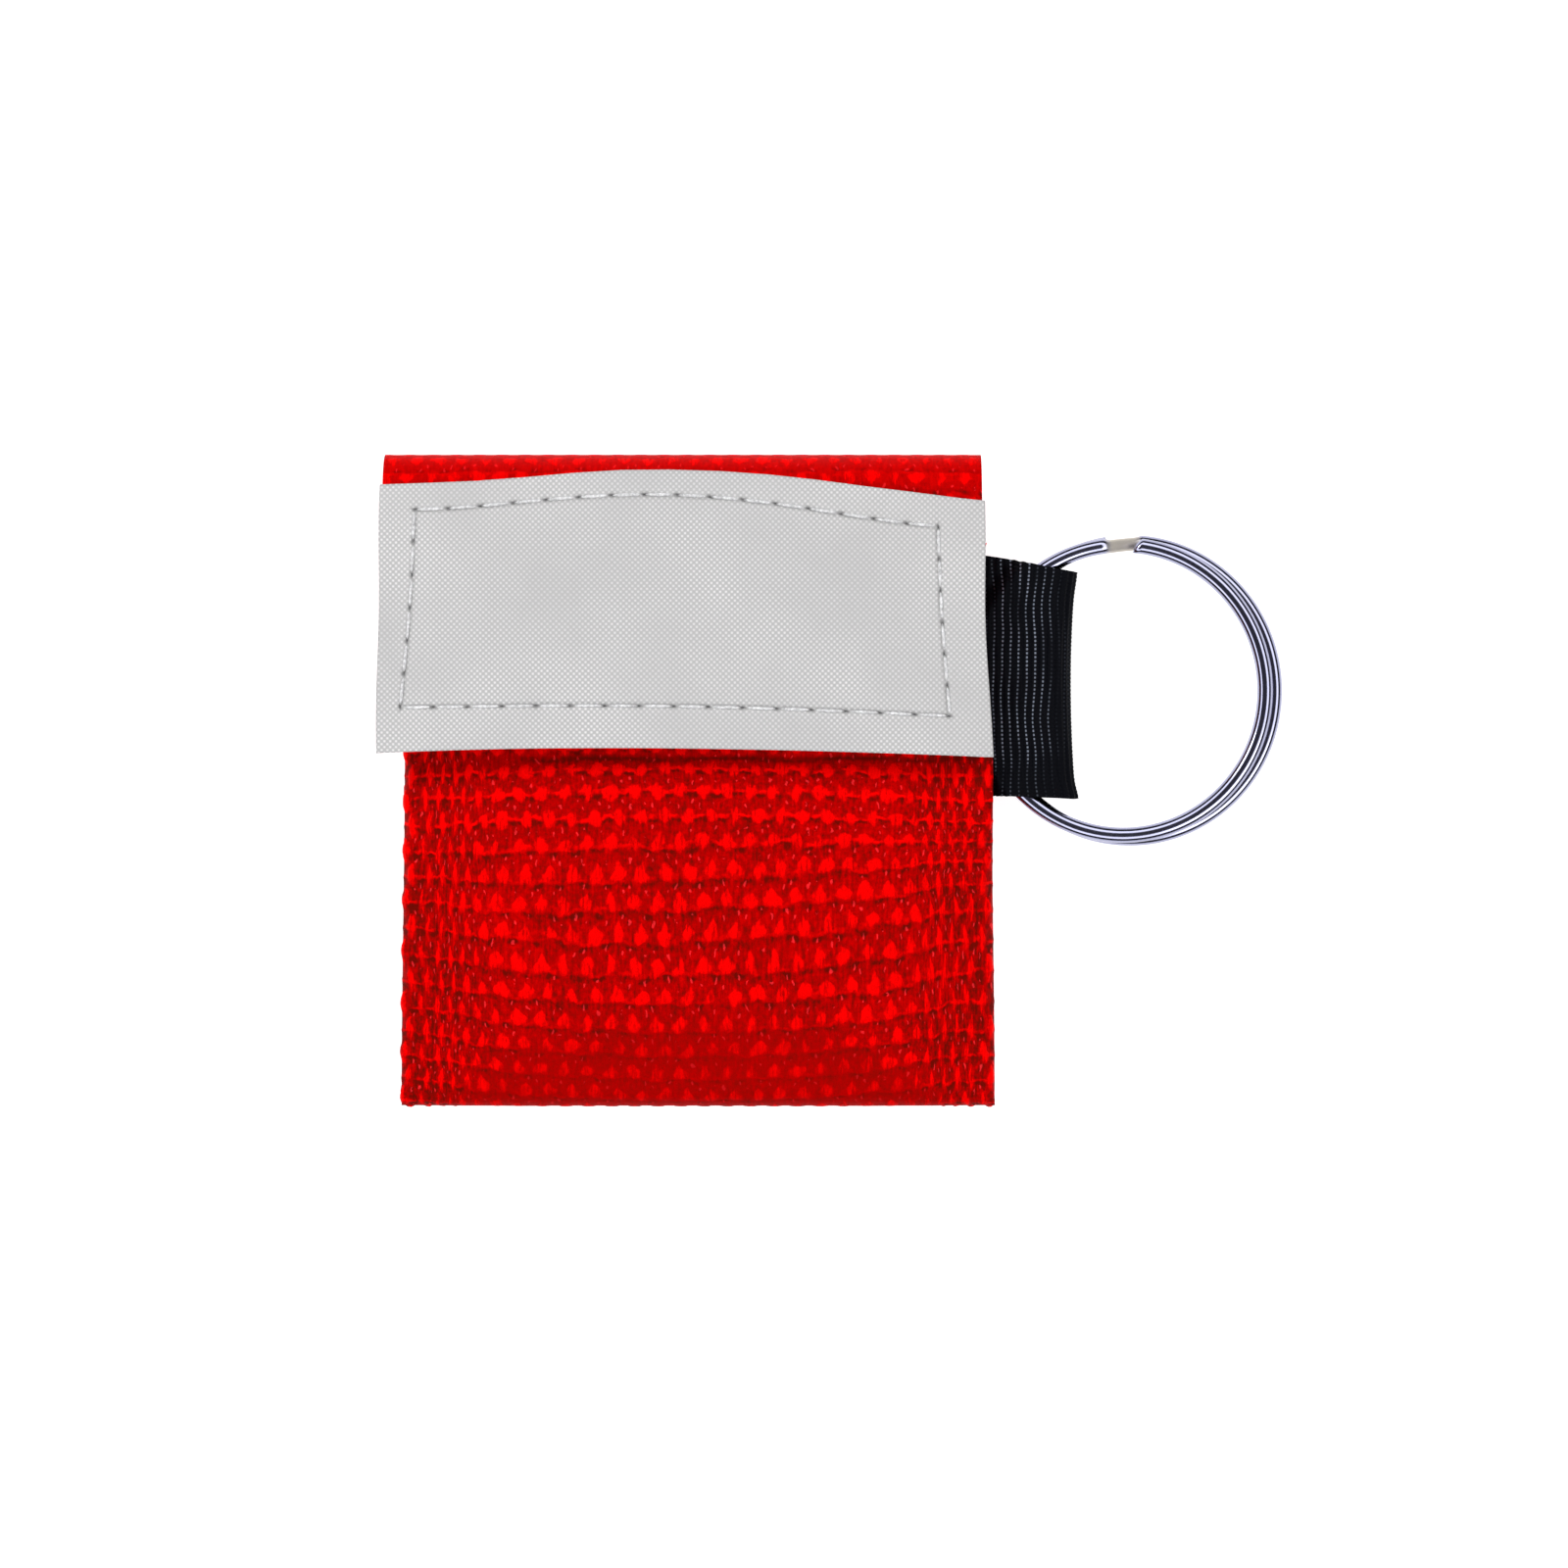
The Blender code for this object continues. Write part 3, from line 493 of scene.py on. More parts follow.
def red_webbing():
    """Polypropylene webbing, coarse weave: floats of glossy filament, painted bright as a highlight, over a ground
    painted deeper as shade, thin cross yarns, and short ticks of the yarns below between two rows, with painted
    highlights on both and a painted shadow under the floats."""
    sizes, colours = bpy.context.scene.pouch_sizes, bpy.context.scene.pouch_colours
    made, add, shader = new_material("red polypropylene webbing")
    uv = add("UVMap", uv_map="UVMap")
    # irregular yarns: the pattern's coordinates wander by a tenth of a pitch over a few pitches
    wander = add("TexNoise", Vector=uv, Scale=620.0, Detail=5.0, output=1)
    centred = add("VectorMath.SUBTRACT", wander, (0.5, 0.5, 0.5))
    moved = add("VectorMath.MULTIPLY_ADD", centred, (0.0013, 0.0014, 0.0), uv)
    apart = add("SeparateXYZ", moved).node.outputs
    u = add("Math.DIVIDE", apart[0], sizes.column_pitch)
    v = add("Math.DIVIDE", apart[1], sizes.row_pitch)
    row = add("Math.FLOOR", v)
    rise = add("Math.SUBTRACT", add("Math.SUBTRACT", v, row), 0.5)
    odd = add("Math.FLOORED_MODULO", row, 2.0)
    column = add("Math.MULTIPLY_ADD", odd, STAGGER, u)
    cell = add("Math.FLOOR", column)
    side = add("Math.SUBTRACT", add("Math.SUBTRACT", column, cell), 0.5)
    # each cell's own brightness
    number = add("CombineXYZ", cell, row)
    chance = add("TexWhiteNoise", Vector=number, noise_dimensions="2D")
    fin = add("Attribute", attribute_name="fin", output=2)
    spindle = add("Attribute", attribute_name="spindle", output=2)
    # the float: a rounded diamond, or a fin with a flat lower end
    width = add("Math.SUBTRACT", 0.31, add("Math.MULTIPLY", add("Math.MULTIPLY", fin, 0.45), rise))
    width = add("Math.MULTIPLY", width, add("Math.MULTIPLY_ADD", chance, 0.4, 0.74))
    width = add("Math.MULTIPLY", width, add("Math.MULTIPLY_ADD", spindle, -0.42, 1.0))
    tall = add("Math.MULTIPLY_ADD", spindle, 0.17, 0.31)
    lifted = add("Math.MULTIPLY_ADD", fin, -0.05, rise)
    across = add("Math.POWER", add("Math.ABSOLUTE", add("Math.DIVIDE", side, width)), 1.6)
    along = add("Math.POWER", add("Math.ABSOLUTE", add("Math.DIVIDE", lifted, tall)), 1.6)
    inside = add("Math.SUBTRACT", add("Math.SUBTRACT", 1.0, across), along)
    float_yarn = add("MapRange", inside, -0.4, 0.62, interpolation_type="SMOOTHSTEP")
    over_line = add("Math.MULTIPLY_ADD", fin, LINE_DROP, rise)
    cut = add("MapRange", over_line, -0.08, -0.02, interpolation_type="SMOOTHSTEP")
    uncut = add("Math.SUBTRACT", 1.0, fin)
    float_yarn = add("Math.MULTIPLY", float_yarn, add("Math.MULTIPLY_ADD", cut, fin, uncut))
    # the thin cross yarn, which breaks here and there, drawn as a painted highlight line
    line = add("MapRange", add("Math.ABSOLUTE", over_line), 0.12, 0.02, interpolation_type="SMOOTHSTEP")
    broken = add("TexNoise", Vector=uv, Scale=900.0)
    cross_part = add("MapRange", broken, 0.38, 0.58, 0.0, 1.0)
    weaker = add("Math.MULTIPLY_ADD", fin, -0.6, 1.0)
    cross_yarn = add("Math.MULTIPLY", add("Math.MULTIPLY", line, cross_part), weaker)
    # the shadow beside and just under each float
    under = add("Math.DIVIDE", add("Math.ADD", over_line, 0.14), 0.1)
    under = add("Math.MULTIPLY", add("Math.POWER", add("Math.ABSOLUTE", under), 2.0), -1.0)
    under = add("Math.MULTIPLY", add("Math.EXPONENT", under), add("Math.MULTIPLY_ADD", broken, 2.4, -0.35))
    beside = add("Math.DIVIDE", add("Math.SUBTRACT", add("Math.ABSOLUTE", side), 0.4), 0.12)
    beside = add("Math.MULTIPLY", add("Math.POWER", add("Math.ABSOLUTE", beside), 2.0), -1.0)
    beside = add("Math.EXPONENT", beside)
    shade = add("Math.MULTIPLY", under, add("Math.MULTIPLY_ADD", beside, 0.9, 0.15))
    shade = add("Math.MULTIPLY_ADD", add("Math.MULTIPLY", beside, spindle), 0.45, shade)
    # painted highlights: ticks between two rows, halfway between the floats, on some cells
    tick_side = add("Math.DIVIDE", add("Math.SUBTRACT", add("Math.ABSOLUTE", side), 0.5), 0.06)
    tick_rise = add("Math.DIVIDE", add("Math.SUBTRACT", add("Math.ABSOLUTE", rise), 0.42), 0.13)
    squares = [add("Math.POWER", add("Math.ABSOLUTE", part), 2.0) for part in (tick_side, tick_rise)]
    tick_highlight = add("MapRange", add("Math.ADD", *squares), 1.0, 0.2, interpolation_type="SMOOTHSTEP")
    tick_highlight = add("Math.MULTIPLY", tick_highlight, add("Math.GREATER_THAN", broken, 0.48))
    # filament streaks along the yarns
    stretched = add("Mapping", Vector=uv, Scale=(3600.0, 750.0, 1.0))
    streak = add("TexNoise", Vector=stretched, Scale=1.0, Detail=3.0)
    mottle = add("TexNoise", Vector=uv, Scale=2600.0, Detail=2.0)
    filament = add("MapRange", streak, 0.36, 0.6, 0.15, 1.1)
    # painted highlight on the floats, broken by the streaks and each cell's own brightness; then the painted highlights
    # of the cross yarns and ticks, and the painted shadow
    painted_highlight_strength = add("Math.MULTIPLY_ADD", filament, 0.75, add("Math.MULTIPLY", chance, 0.35))
    bright = add("Math.MULTIPLY", float_yarn, painted_highlight_strength)
    bright = add("Math.MAXIMUM", bright, add("Math.MULTIPLY", cross_yarn, 0.65))
    bright = add("Math.MAXIMUM", bright, add("Math.MULTIPLY", tick_highlight, 0.45))
    bright = add("Math.MULTIPLY_ADD", shade, -0.34, bright)
    bright = add("Math.MULTIPLY_ADD", add("Math.SUBTRACT", streak, 0.5), 0.75, bright)
    bright = add("Math.MULTIPLY_ADD", add("Math.SUBTRACT", mottle, 0.5), 0.6, bright)
    cloud = add("TexNoise", Vector=uv, Scale=170.0, Detail=2.0)
    bright = add("Math.MULTIPLY_ADD", add("Math.SUBTRACT", cloud, 0.5), 0.35, bright)
    # painted light set on the mesh: shine scales the painted highlights and shade with the random tones, and plain adds
    # painted light or shade
    shine = add("Attribute", attribute_name="shine", output=2)
    plain = add("Attribute", attribute_name="plain", output=2)
    bright = add("Math.ADD", add("Math.MULTIPLY", bright, shine), plain)
    bright = add("Math.ADD", bright, GROUND_PLACE)
    # painted light in the red: below the ground's colour it darkens to painted shade, above it brightens to painted
    # highlight
    deep, ground, top = (*colours.red_painted_shade, 1.0), linear("b20000"), (*colours.red_painted_highlight, 1.0)
    ramp = add("ValToRGB", bright, stops=((0.0, deep), (GROUND_PLACE, ground), (0.8, top)))
    # painted highlight: the ticks are tinted towards a pale pink
    tick_highlight_tint = add("Math.MULTIPLY", add("Math.MULTIPLY", tick_highlight, shine), 0.08)
    tinted = add("Mix", tick_highlight_tint, *TO_COLOURS, ramp, linear("ff8090"), data_type="RGBA", output=2)
    height = add("Math.MULTIPLY_ADD", streak, 0.3, bright)
    bump = add("Bump", Height=height, Strength=0.4, Distance=0.12 * MM)
    fill(shader, {"Base Color": tinted, "Normal": bump, "Roughness": 0.5, "Specular IOR Level": 0.01})
    return made


def oxford_cloth():
    """Grey coated Oxford cloth, fine plain weave: each warp and weft crossing shows as a pale dot of painted highlight,
    in staggered rows, and painted shade where a needle went through."""
    sizes, colours = bpy.context.scene.pouch_sizes, bpy.context.scene.pouch_colours
    made, add, shader = new_material("grey coated oxford cloth")
    uv = add("UVMap", uv_map="UVMap")
    apart = add("SeparateXYZ", uv).node.outputs
    turn = math.tau / sizes.cloth_pitch
    warp = add("Math.COSINE", add("Math.MULTIPLY", apart[0], turn))
    weft = add("Math.COSINE", add("Math.MULTIPLY", apart[1], turn))
    lattice = add("Math.MULTIPLY", warp, weft)
    # painted highlight: a pale dot at each crossing
    dot = add("MapRange", lattice, -0.25, 0.95, interpolation_type="SMOOTHSTEP")
    patch = add("TexNoise", Vector=uv, Scale=90.0, Detail=3.0)
    pale = add("Math.MULTIPLY", dot, add("MapRange", patch, 0.35, 0.65, 0.45, 1.0))
    # painted shade in the needle holes and beside each stitch
    hole = add("Attribute", attribute_name="hole", output=2)
    ramp = add("ValToRGB", pale, stops=((0.0, tone(colours.cloth, 0.86)), (1.0, tone(colours.cloth, 1.42))))
    dark = add("Mix", hole, *TO_COLOURS, ramp, linear("2e2e2e"), data_type="RGBA", output=2)
    bump = add("Bump", Height=lattice, Strength=0.35, Distance=0.04 * MM)
    fill(shader, {"Base Color": dark, "Normal": bump, "Roughness": 0.6, "Specular IOR Level": 0.25})
    return made


def grosgrain():
    """Black ribbed nylon webbing: round ribs side by side, with a row of small grey glints along each valley."""
    sizes, colours = bpy.context.scene.pouch_sizes, bpy.context.scene.pouch_colours
    made, add, shader = new_material("black nylon grosgrain")
    uv = add("UVMap", uv_map="UVMap")
    wander = add("TexNoise", Vector=uv, Scale=150.0, Detail=1.0, output=1)
    centred = add("VectorMath.SUBTRACT", wander, (0.5, 0.5, 0.5))
    moved = add("VectorMath.MULTIPLY_ADD", centred, (0.0010, 0.0003, 0.0), uv)
    apart = add("SeparateXYZ", moved).node.outputs
    rib = add("Math.COSINE", add("Math.MULTIPLY", apart[0], math.tau / sizes.rib_pitch))
    pick = add("Math.COSINE", add("Math.MULTIPLY", apart[1], math.tau / (sizes.rib_pitch / 2)))
    valley = add("MapRange", rib, 0.68, 1.0, interpolation_type="SMOOTHSTEP")
    glint = add("MapRange", pick, -0.5, 0.7, 0.03, interpolation_type="SMOOTHSTEP")
    stretched = add("Mapping", Vector=uv, Scale=(900.0, 160.0, 1.0))
    patch = add("TexNoise", Vector=stretched, Scale=1.0, Detail=2.0)
    share = add("MapRange", patch, 0.38, 0.58, 0.12, 1.1)
    shine = add("Attribute", attribute_name="shine", output=2)
    # painted highlight: grey glints in the rib valleys, as strong as the mesh's shine
    dot = add("Math.MULTIPLY", add("Math.MULTIPLY", valley, glint), add("Math.MULTIPLY", share, shine))
    ramp = add("ValToRGB", dot, stops=((0.0, (*colours.tab, 1.0)), (0.8, linear("828a98"))))
    height = add("Math.MULTIPLY_ADD", pick, 0.15, rib)
    bump = add("Bump", Height=height, Strength=0.4, Distance=0.06 * MM)
    fill(shader, {"Base Color": ramp, "Normal": bump, "Roughness": 0.6, "Specular IOR Level": 0.06})
    return made


def nickel_plate():
    """Polished nickel plate on spring wire: mirror-like with faint drawing marks, and matte where it was crimped."""
    made, add, shader = new_material("polished nickel plate")
    marks = add("TexNoise", Vector=add("TexCoord", output="Object"), Scale=900.0, Detail=4.0)
    matte = add("Attribute", attribute_name="matte", output=2)
    rough = add("MapRange", matte, 0.0, 1.0, 0.09, 0.5)
    rough = add("Math.MULTIPLY_ADD", marks, 0.06, rough)
    # painted reflection: the polished wire's base colour is lavender-grey, the tint of its surroundings; nickel's own
    # colour where crimped
    nickel_and_painted_reflection = add("Mix", matte, *TO_COLOURS, linear("a5a6bf"), linear("cfc8bd"), data_type="RGBA", output=2)
    bump = add("Bump", Height=marks, Strength=0.1, Distance=0.02 * MM)
    fill(shader, {"Base Color": nickel_and_painted_reflection, "Normal": bump, "Roughness": rough, "Metallic": 1.0})
    return made


def simple_cloth(name, code, grain, rough=0.75):
    """A plain thread, felt, tape or moulding: a colour broken by fine fibre noise at grain per metre."""
    made, add, shader = new_material(name)
    fibre = add("TexNoise", Vector=add("TexCoord", output="Object"), Scale=grain, Detail=4.0)
    ramp = add("ValToRGB", fibre, stops=((0.3, tone(linear(code), 0.55)), (0.7, tone(linear(code), 1.25))))
    bump = add("Bump", Height=fibre, Strength=0.4, Distance=0.05 * MM)
    fill(shader, {"Base Color": ramp, "Normal": bump, "Roughness": rough, "Specular IOR Level": 0.2})
    return made


def clear_film():
    """Polyethylene film, folded: milky where its layers lie on each other, with soft creases."""
    made, add, shader = new_material("folded polyethylene film")
    crease = add("TexNoise", Vector=add("TexCoord", output="Object"), Scale=260.0, Detail=3.0)
    ramp = add("ValToRGB", crease, stops=((0.0, linear("c9d4dc")), (1.0, linear("eef3f6"))))
    bump = add("Bump", Height=crease, Strength=0.5, Distance=0.15 * MM)
    fill(shader, {"Base Color": ramp, "Normal": bump, "Roughness": 0.22, "Transmission Weight": 0.35})
    return made


def finish_with(piece, made):
    """Gives a piece its only material."""
    piece.data.materials.clear()
    piece.data.materials.append(made)


# ---------------------------------------------------------------- pieces


def row_number(x, y):
    """Row of the front wall's weave at a point: the row numbers at three places across the wall, each read from its
    table of heights, joined by the parabola through them."""
    numbers = -np.arange(len(ROWS_LEFT), dtype=float)
    a, b, c = (
        np.interp(y, table[::-1], numbers[::-1]) + np.maximum(y - table[0], 0) / ROW_GAP
        for table in (ROWS_LEFT, ROWS_MIDDLE, ROWS_RIGHT)
    )
    low, mid, high = ROW_PLACES
    place = np.clip(x, low - MM, high + 4 * MM)
    share_a = (place - mid) * (place - high) / ((low - mid) * (low - high))
    share_b = (place - low) * (place - high) / ((mid - low) * (mid - high))
    share_c = (place - low) * (place - mid) / ((high - low) * (high - mid))
    return a * share_a + b * share_b + c * share_c


def column_place(x):
    """Distance across the cloth at x: the running sum of a rate that is 1, and nearly 2 in a bell 4.3 mm inside each
    side, where the wall turns down and its yarns crowd together."""
    depth = np.linspace(0, HALF + MM, 500)
    rate = 1 + 0.9 * np.exp(-(((depth - 4.3 * MM) / (2.5 * MM)) ** 2))
    total = np.concatenate([[0], np.cumsum((rate[1:] + rate[:-1]) / 2 * np.diff(depth))])
    edge = np.clip(HALF - np.abs(x), 0, HALF + MM)
    return np.sign(x) * (np.interp(HALF, depth, total) - np.interp(edge, depth, total))


def strip_place(across, y):
    """X of a point of the back wall: the strip widens and shifts to the flap's width just below the top fold."""
    share = smooth((y - FOLD_START + 10 * MM) / (9.5 * MM))
    return across * (1 + ((FLAP_HALF - FLAP_TRIM) / HALF - 1) * share) + FLAP_SHIFT * share


def pinch(x, y):
    """How far the right side is pulled in above the flap's edge, where the tab is sewn in: an S across and along."""
    along = smooth((y - 2.4 * MM) / (1.6 * MM)) * smooth((FOLD_START - y) / (4 * MM))
    return 0.9 * MM * smooth((x - 15 * MM) / (10 * MM)) * along


def relief(points, u, v, fin, spindle, amount):
    """Raises a grid of points along its normals by the red weave's height."""
    sizes = bpy.context.scene.pouch_sizes
    height = weave_height(u / sizes.column_pitch, v / sizes.row_pitch, fin, spindle)
    lift = (height - 0.45) * sizes.weave_relief * amount
    return points + facing(points) * lift[..., None]


def distance_down(y, z):
    """Running distance along a grid's middle column, from its first row."""
    middle = y.shape[1] // 2
    return np.concatenate([[0], np.cumsum(np.hypot(np.diff(y[:, middle]), np.diff(z[:, middle])))])


def front_grid(step):
    """Front wall and bottom fold: x across the columns; each row follows the wall down from the mouth, then a half
    turn round the bottom fold, whose slack lets it reach a little lower."""
    down = np.arange(MOUTH, FOLD_LINE, -step)
    angle = np.radians(np.linspace(90, -90, 22))[1:]
    x, y = np.meshgrid(side_columns(step), [*down, *(FOLD_LINE - (BOTTOM_FOLD + FOLD_SLACK) * np.cos(angle))])
    z = front_z(x, y) - side_roll(x, y)
    start = FOLD_LINE
    high, low = front_z(x, start) - side_roll(x, start), back_z(x, start) + side_roll(x, start)
    turn = np.concatenate([np.full(len(down), math.pi / 2), angle])[:, None]
    round_part = (high + low) / 2 + (high - low) / 2 * np.sin(turn)
    z = np.where(turn < math.pi / 2 - 1e-6, round_part, z)
    return np.stack([x, y, z], axis=-1), distance_down(y, z)


class POUCH_OT_walls(bpy.types.Operator):
    """Front and back walls of red webbing, with their weave"""

    bl_idname = "pouch.walls"
    bl_label = "Walls"

    def execute(self, context):
        sizes = context.scene.pouch_sizes
        made = webbing_finish()
        points, fall = front_grid(sizes.grid_step)
        x, y = points[..., 0].copy(), points[..., 1].copy()
        points[..., 0] += x * 0.011 * smooth((3 * MM - y) / (30 * MM)) - pinch(x, y)
        u = column_place(x) - 0.2 * MM
        # below the wall's end the rows go on by the distance round the fold
        past = (fall[:, None] - (MOUTH - np.maximum(y, FOLD_LINE))) * (y < FOLD_LINE)
        v = (row_number(x, np.maximum(y, FOLD_LINE)) + 0.5) * sizes.row_pitch - past
        edge = np.abs(x) / HALF
        depth = smooth((y - BOTTOM - (4.5 - 12.0 * edge**3) * MM) / (6 * MM))
        spindle = smooth((edge - 0.7) / 0.14)
        fin = smooth((-3 * MM - y) / (6 * MM)) * (1 - 0.6 * spindle)
        outer = relief(points, u, v, fin, spindle, 0.4 + 0.6 * depth)
        # the ply thins where the fold closes up at the two lower corners
        thin = 1 - 0.75 * side_roll(x, y) / SIDE_ROLL * (y < FOLD_LINE)
        inner = points - facing(points) * PLY * thin[..., None]
        # painted light: the weave's painted highlights and shade are weaker towards the bottom fold, and the ground a
        # little darker there
        shine = 0.35 + 0.65 * depth
        # painted light: a lighter band just under the flap's edge
        painted_light_under_flap = smooth((y - 1.9 * MM) / (0.3 * MM)) * 0.16
        # painted shade: a dark line along the crease just under the flap's edge, which also weakens the painted
        # highlights there
        crease = np.exp(-(((y - 1.7 * MM - 0.1 * MM * np.sin(x / MM * 0.6)) / (0.2 * MM)) ** 2))
        crease = crease * smooth((x + 17 * MM) / (4 * MM))
        plain = painted_light_under_flap - 0.3 * crease - 0.05 * (1 - depth)
        values = {"shine": shine * (1 - 0.5 * crease), "plain": plain, "fin": fin, "spindle": spindle}
        front = shell("front_wall", outer, inner, np.stack([u, v], axis=-1), values)
        finish_with(front, made)
        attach(front, "pouch")
        step = sizes.grid_step * 1.15
        y = np.arange(FOLD_LINE, FOLD_START - 1.5 * MM, step)
        across, y = np.meshgrid(side_columns(step), y)
        x = strip_place(across, y)
        points = np.stack([x - pinch(x, y), y, back_z(across, y) + side_roll(across, y)], axis=-1)
        u = column_place(across)
        rest = smooth((points[..., 2] - 0.02 * MM) / (0.6 * MM))
        ones = np.ones_like(x)
        outer = relief(points, u, y, ones, 0 * ones, 0.3 + 0.5 * rest)
        outer[..., 2] = np.maximum(outer[..., 2], 0.0)
        inner = points - facing(points) * PLY
        values = {"shine": ones * 0.9, "plain": ones * 0, "fin": ones, "spindle": ones * 0}
        back = shell("back_wall", outer, inner, np.stack([u, y], axis=-1), values)
        finish_with(back, made)
        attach(back, "pouch")
        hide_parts("pouch_strip")
        return {"FINISHED"}


def fold_path(x, step):
    """The top fold and flap at every x: up the superellipse from the back wall to the hinge line, over to the flap,
    and along the flap to its free edge. Returns y, z and the distance along the path at the middle."""
    low_angle = np.radians(np.linspace(88, 4, 24))
    high_angle = np.radians(np.linspace(0, 90, 26))
    low = back_z((x - FLAP_SHIFT) / FLAP_HALF * HALF, FOLD_START)
    y_low = FOLD_START + TOP_FOLD * np.cos(low_angle) ** (2 / FOLD_POWER)
    z_low = HINGE_Z - (HINGE_Z - low) * np.sin(low_angle)[:, None] ** (2 / FOLD_POWER)
    y_high = FOLD_START + TOP_FOLD * np.cos(high_angle) ** (2 / FOLD_POWER)
    z_high = HINGE_Z + (flap_z(x) - HINGE_Z) * np.sin(high_angle)[:, None] ** (2 / FOLD_POWER)
    before = np.arange(FOLD_START - 1.7 * MM, FOLD_START - 0.1 * MM, step)
    z_before = back_z((x - FLAP_SHIFT) / FLAP_HALF * HALF, before[:, None])
    count = int((FOLD_START - FLAP_LOW.y) / step)
    share = np.linspace(0, 1, count + 1)[1:, None]
    y_flap = FOLD_START + (flap_end(x) - FOLD_START) * share
    z_flap = np.broadcast_to(flap_z(x), y_flap.shape)
    wide = np.ones_like(x)
    y = np.concatenate([before[:, None] * wide, y_low[:, None] * wide, y_high[:, None] * wide, y_flap])
    z = np.concatenate([z_before, z_low, z_high, z_flap])
    return y, z, distance_down(y, z)


class POUCH_OT_flap(bpy.types.Operator):
    """Top fold and flap of red webbing"""

    bl_idname = "pouch.flap"
    bl_label = "Flap"

    def execute(self, context):
        step = context.scene.pouch_sizes.grid_step
        x = np.linspace(-1, 1, int(2 * FLAP_HALF / step)) * (FLAP_HALF - FLAP_TRIM) + FLAP_SHIFT
        y, z, along = fold_path(x, step)
        across = (x - FLAP_SHIFT) / (FLAP_HALF - FLAP_TRIM) * HALF
        low_part = (y < FOLD_START) & (z < HINGE_Z)
        x = np.where(low_part, strip_place(across, y), np.broadcast_to(x, y.shape))
        points = np.stack([x, y, z], axis=-1)
        v = along[:, None] + 0 * x
        u = x - FLAP_SHIFT
        ones = np.ones_like(x)
        outer = relief(points, u, v, ones, 0 * ones, 0.15 + 0.45 * smooth((FOLD_START - y) / (3 * MM)))
        inner = points - facing(points) * PLY
        # painted light: round the top fold the ground is lighter and the painted highlights weaker
        top = np.exp(-(((y - TOP) / (3.2 * MM)) ** 2)) * (z > HINGE_Z)
        values = {"shine": 0.85 - 0.35 * top, "plain": 0.2 * top, "fin": ones, "spindle": ones * 0}
        flap = shell("flap_webbing", outer, inner, np.stack([u, v], axis=-1), values)
        finish_with(flap, webbing_finish())
        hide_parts("flap_strip")
        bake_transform(flap)
        return {"FINISHED"}


def label_top(x):
    """Y of the label's upper edge: the table above, read in straight steps."""
    share = np.clip((x - FLAP_SHIFT) / (2 * FLAP_HALF) + 0.5, 0, 1)
    return np.interp(share, LABEL_SHARES, LABEL_TOPS)


def label_low(x):
    """Y of the label's lower edge: the flap's edge with a small overhang, which nearly goes at the left."""
    share = np.clip((x - FLAP_SHIFT) / (2 * FLAP_HALF) + 0.5, 0, 1)
    return flap_end(np.clip(x, FLAP_LOW.x, FLAP_HIGH.x)) - (0.02 + 0.33 * smooth(share * 1.2)) * MM


def seam_points(pitch):
    """Ends of the label's stitches: four lines from corner to corner, one pitch apart; the upper one has a low crown
    and the others a slight bow, both half sine waves."""
    bows = np.array([(0, SEAM_CROWN), (-0.15 * MM, 0), (0, SEAM_BOW), (0.2 * MM, 0)])
    lines = []
    for start, end, bow, power in zip(SEAM_CORNERS, np.roll(SEAM_CORNERS, -1, axis=0), bows, (1.5, 1, 1, 1)):
        count = int(round(np.hypot(*(end - start)) / pitch))
        part = np.linspace(0, 1, count + 1)[:, None]
        lines.append(start + (end - start) * part + bow * np.sin(math.pi * part) ** power)
    return lines


def label_height(x, y):
    """Height of the label's outside: the flap's, plus its wall, plus slow wrinkles and a pucker at every stitch."""
    wrinkle = 0.05 * np.sin(x / MM * 0.55 + 0.9 * np.sin(y / MM * 0.3)) * np.sin(y / MM * 0.42 + 1.1)
    return top_z(x, y) + LABEL_LIFT + wrinkle * MM


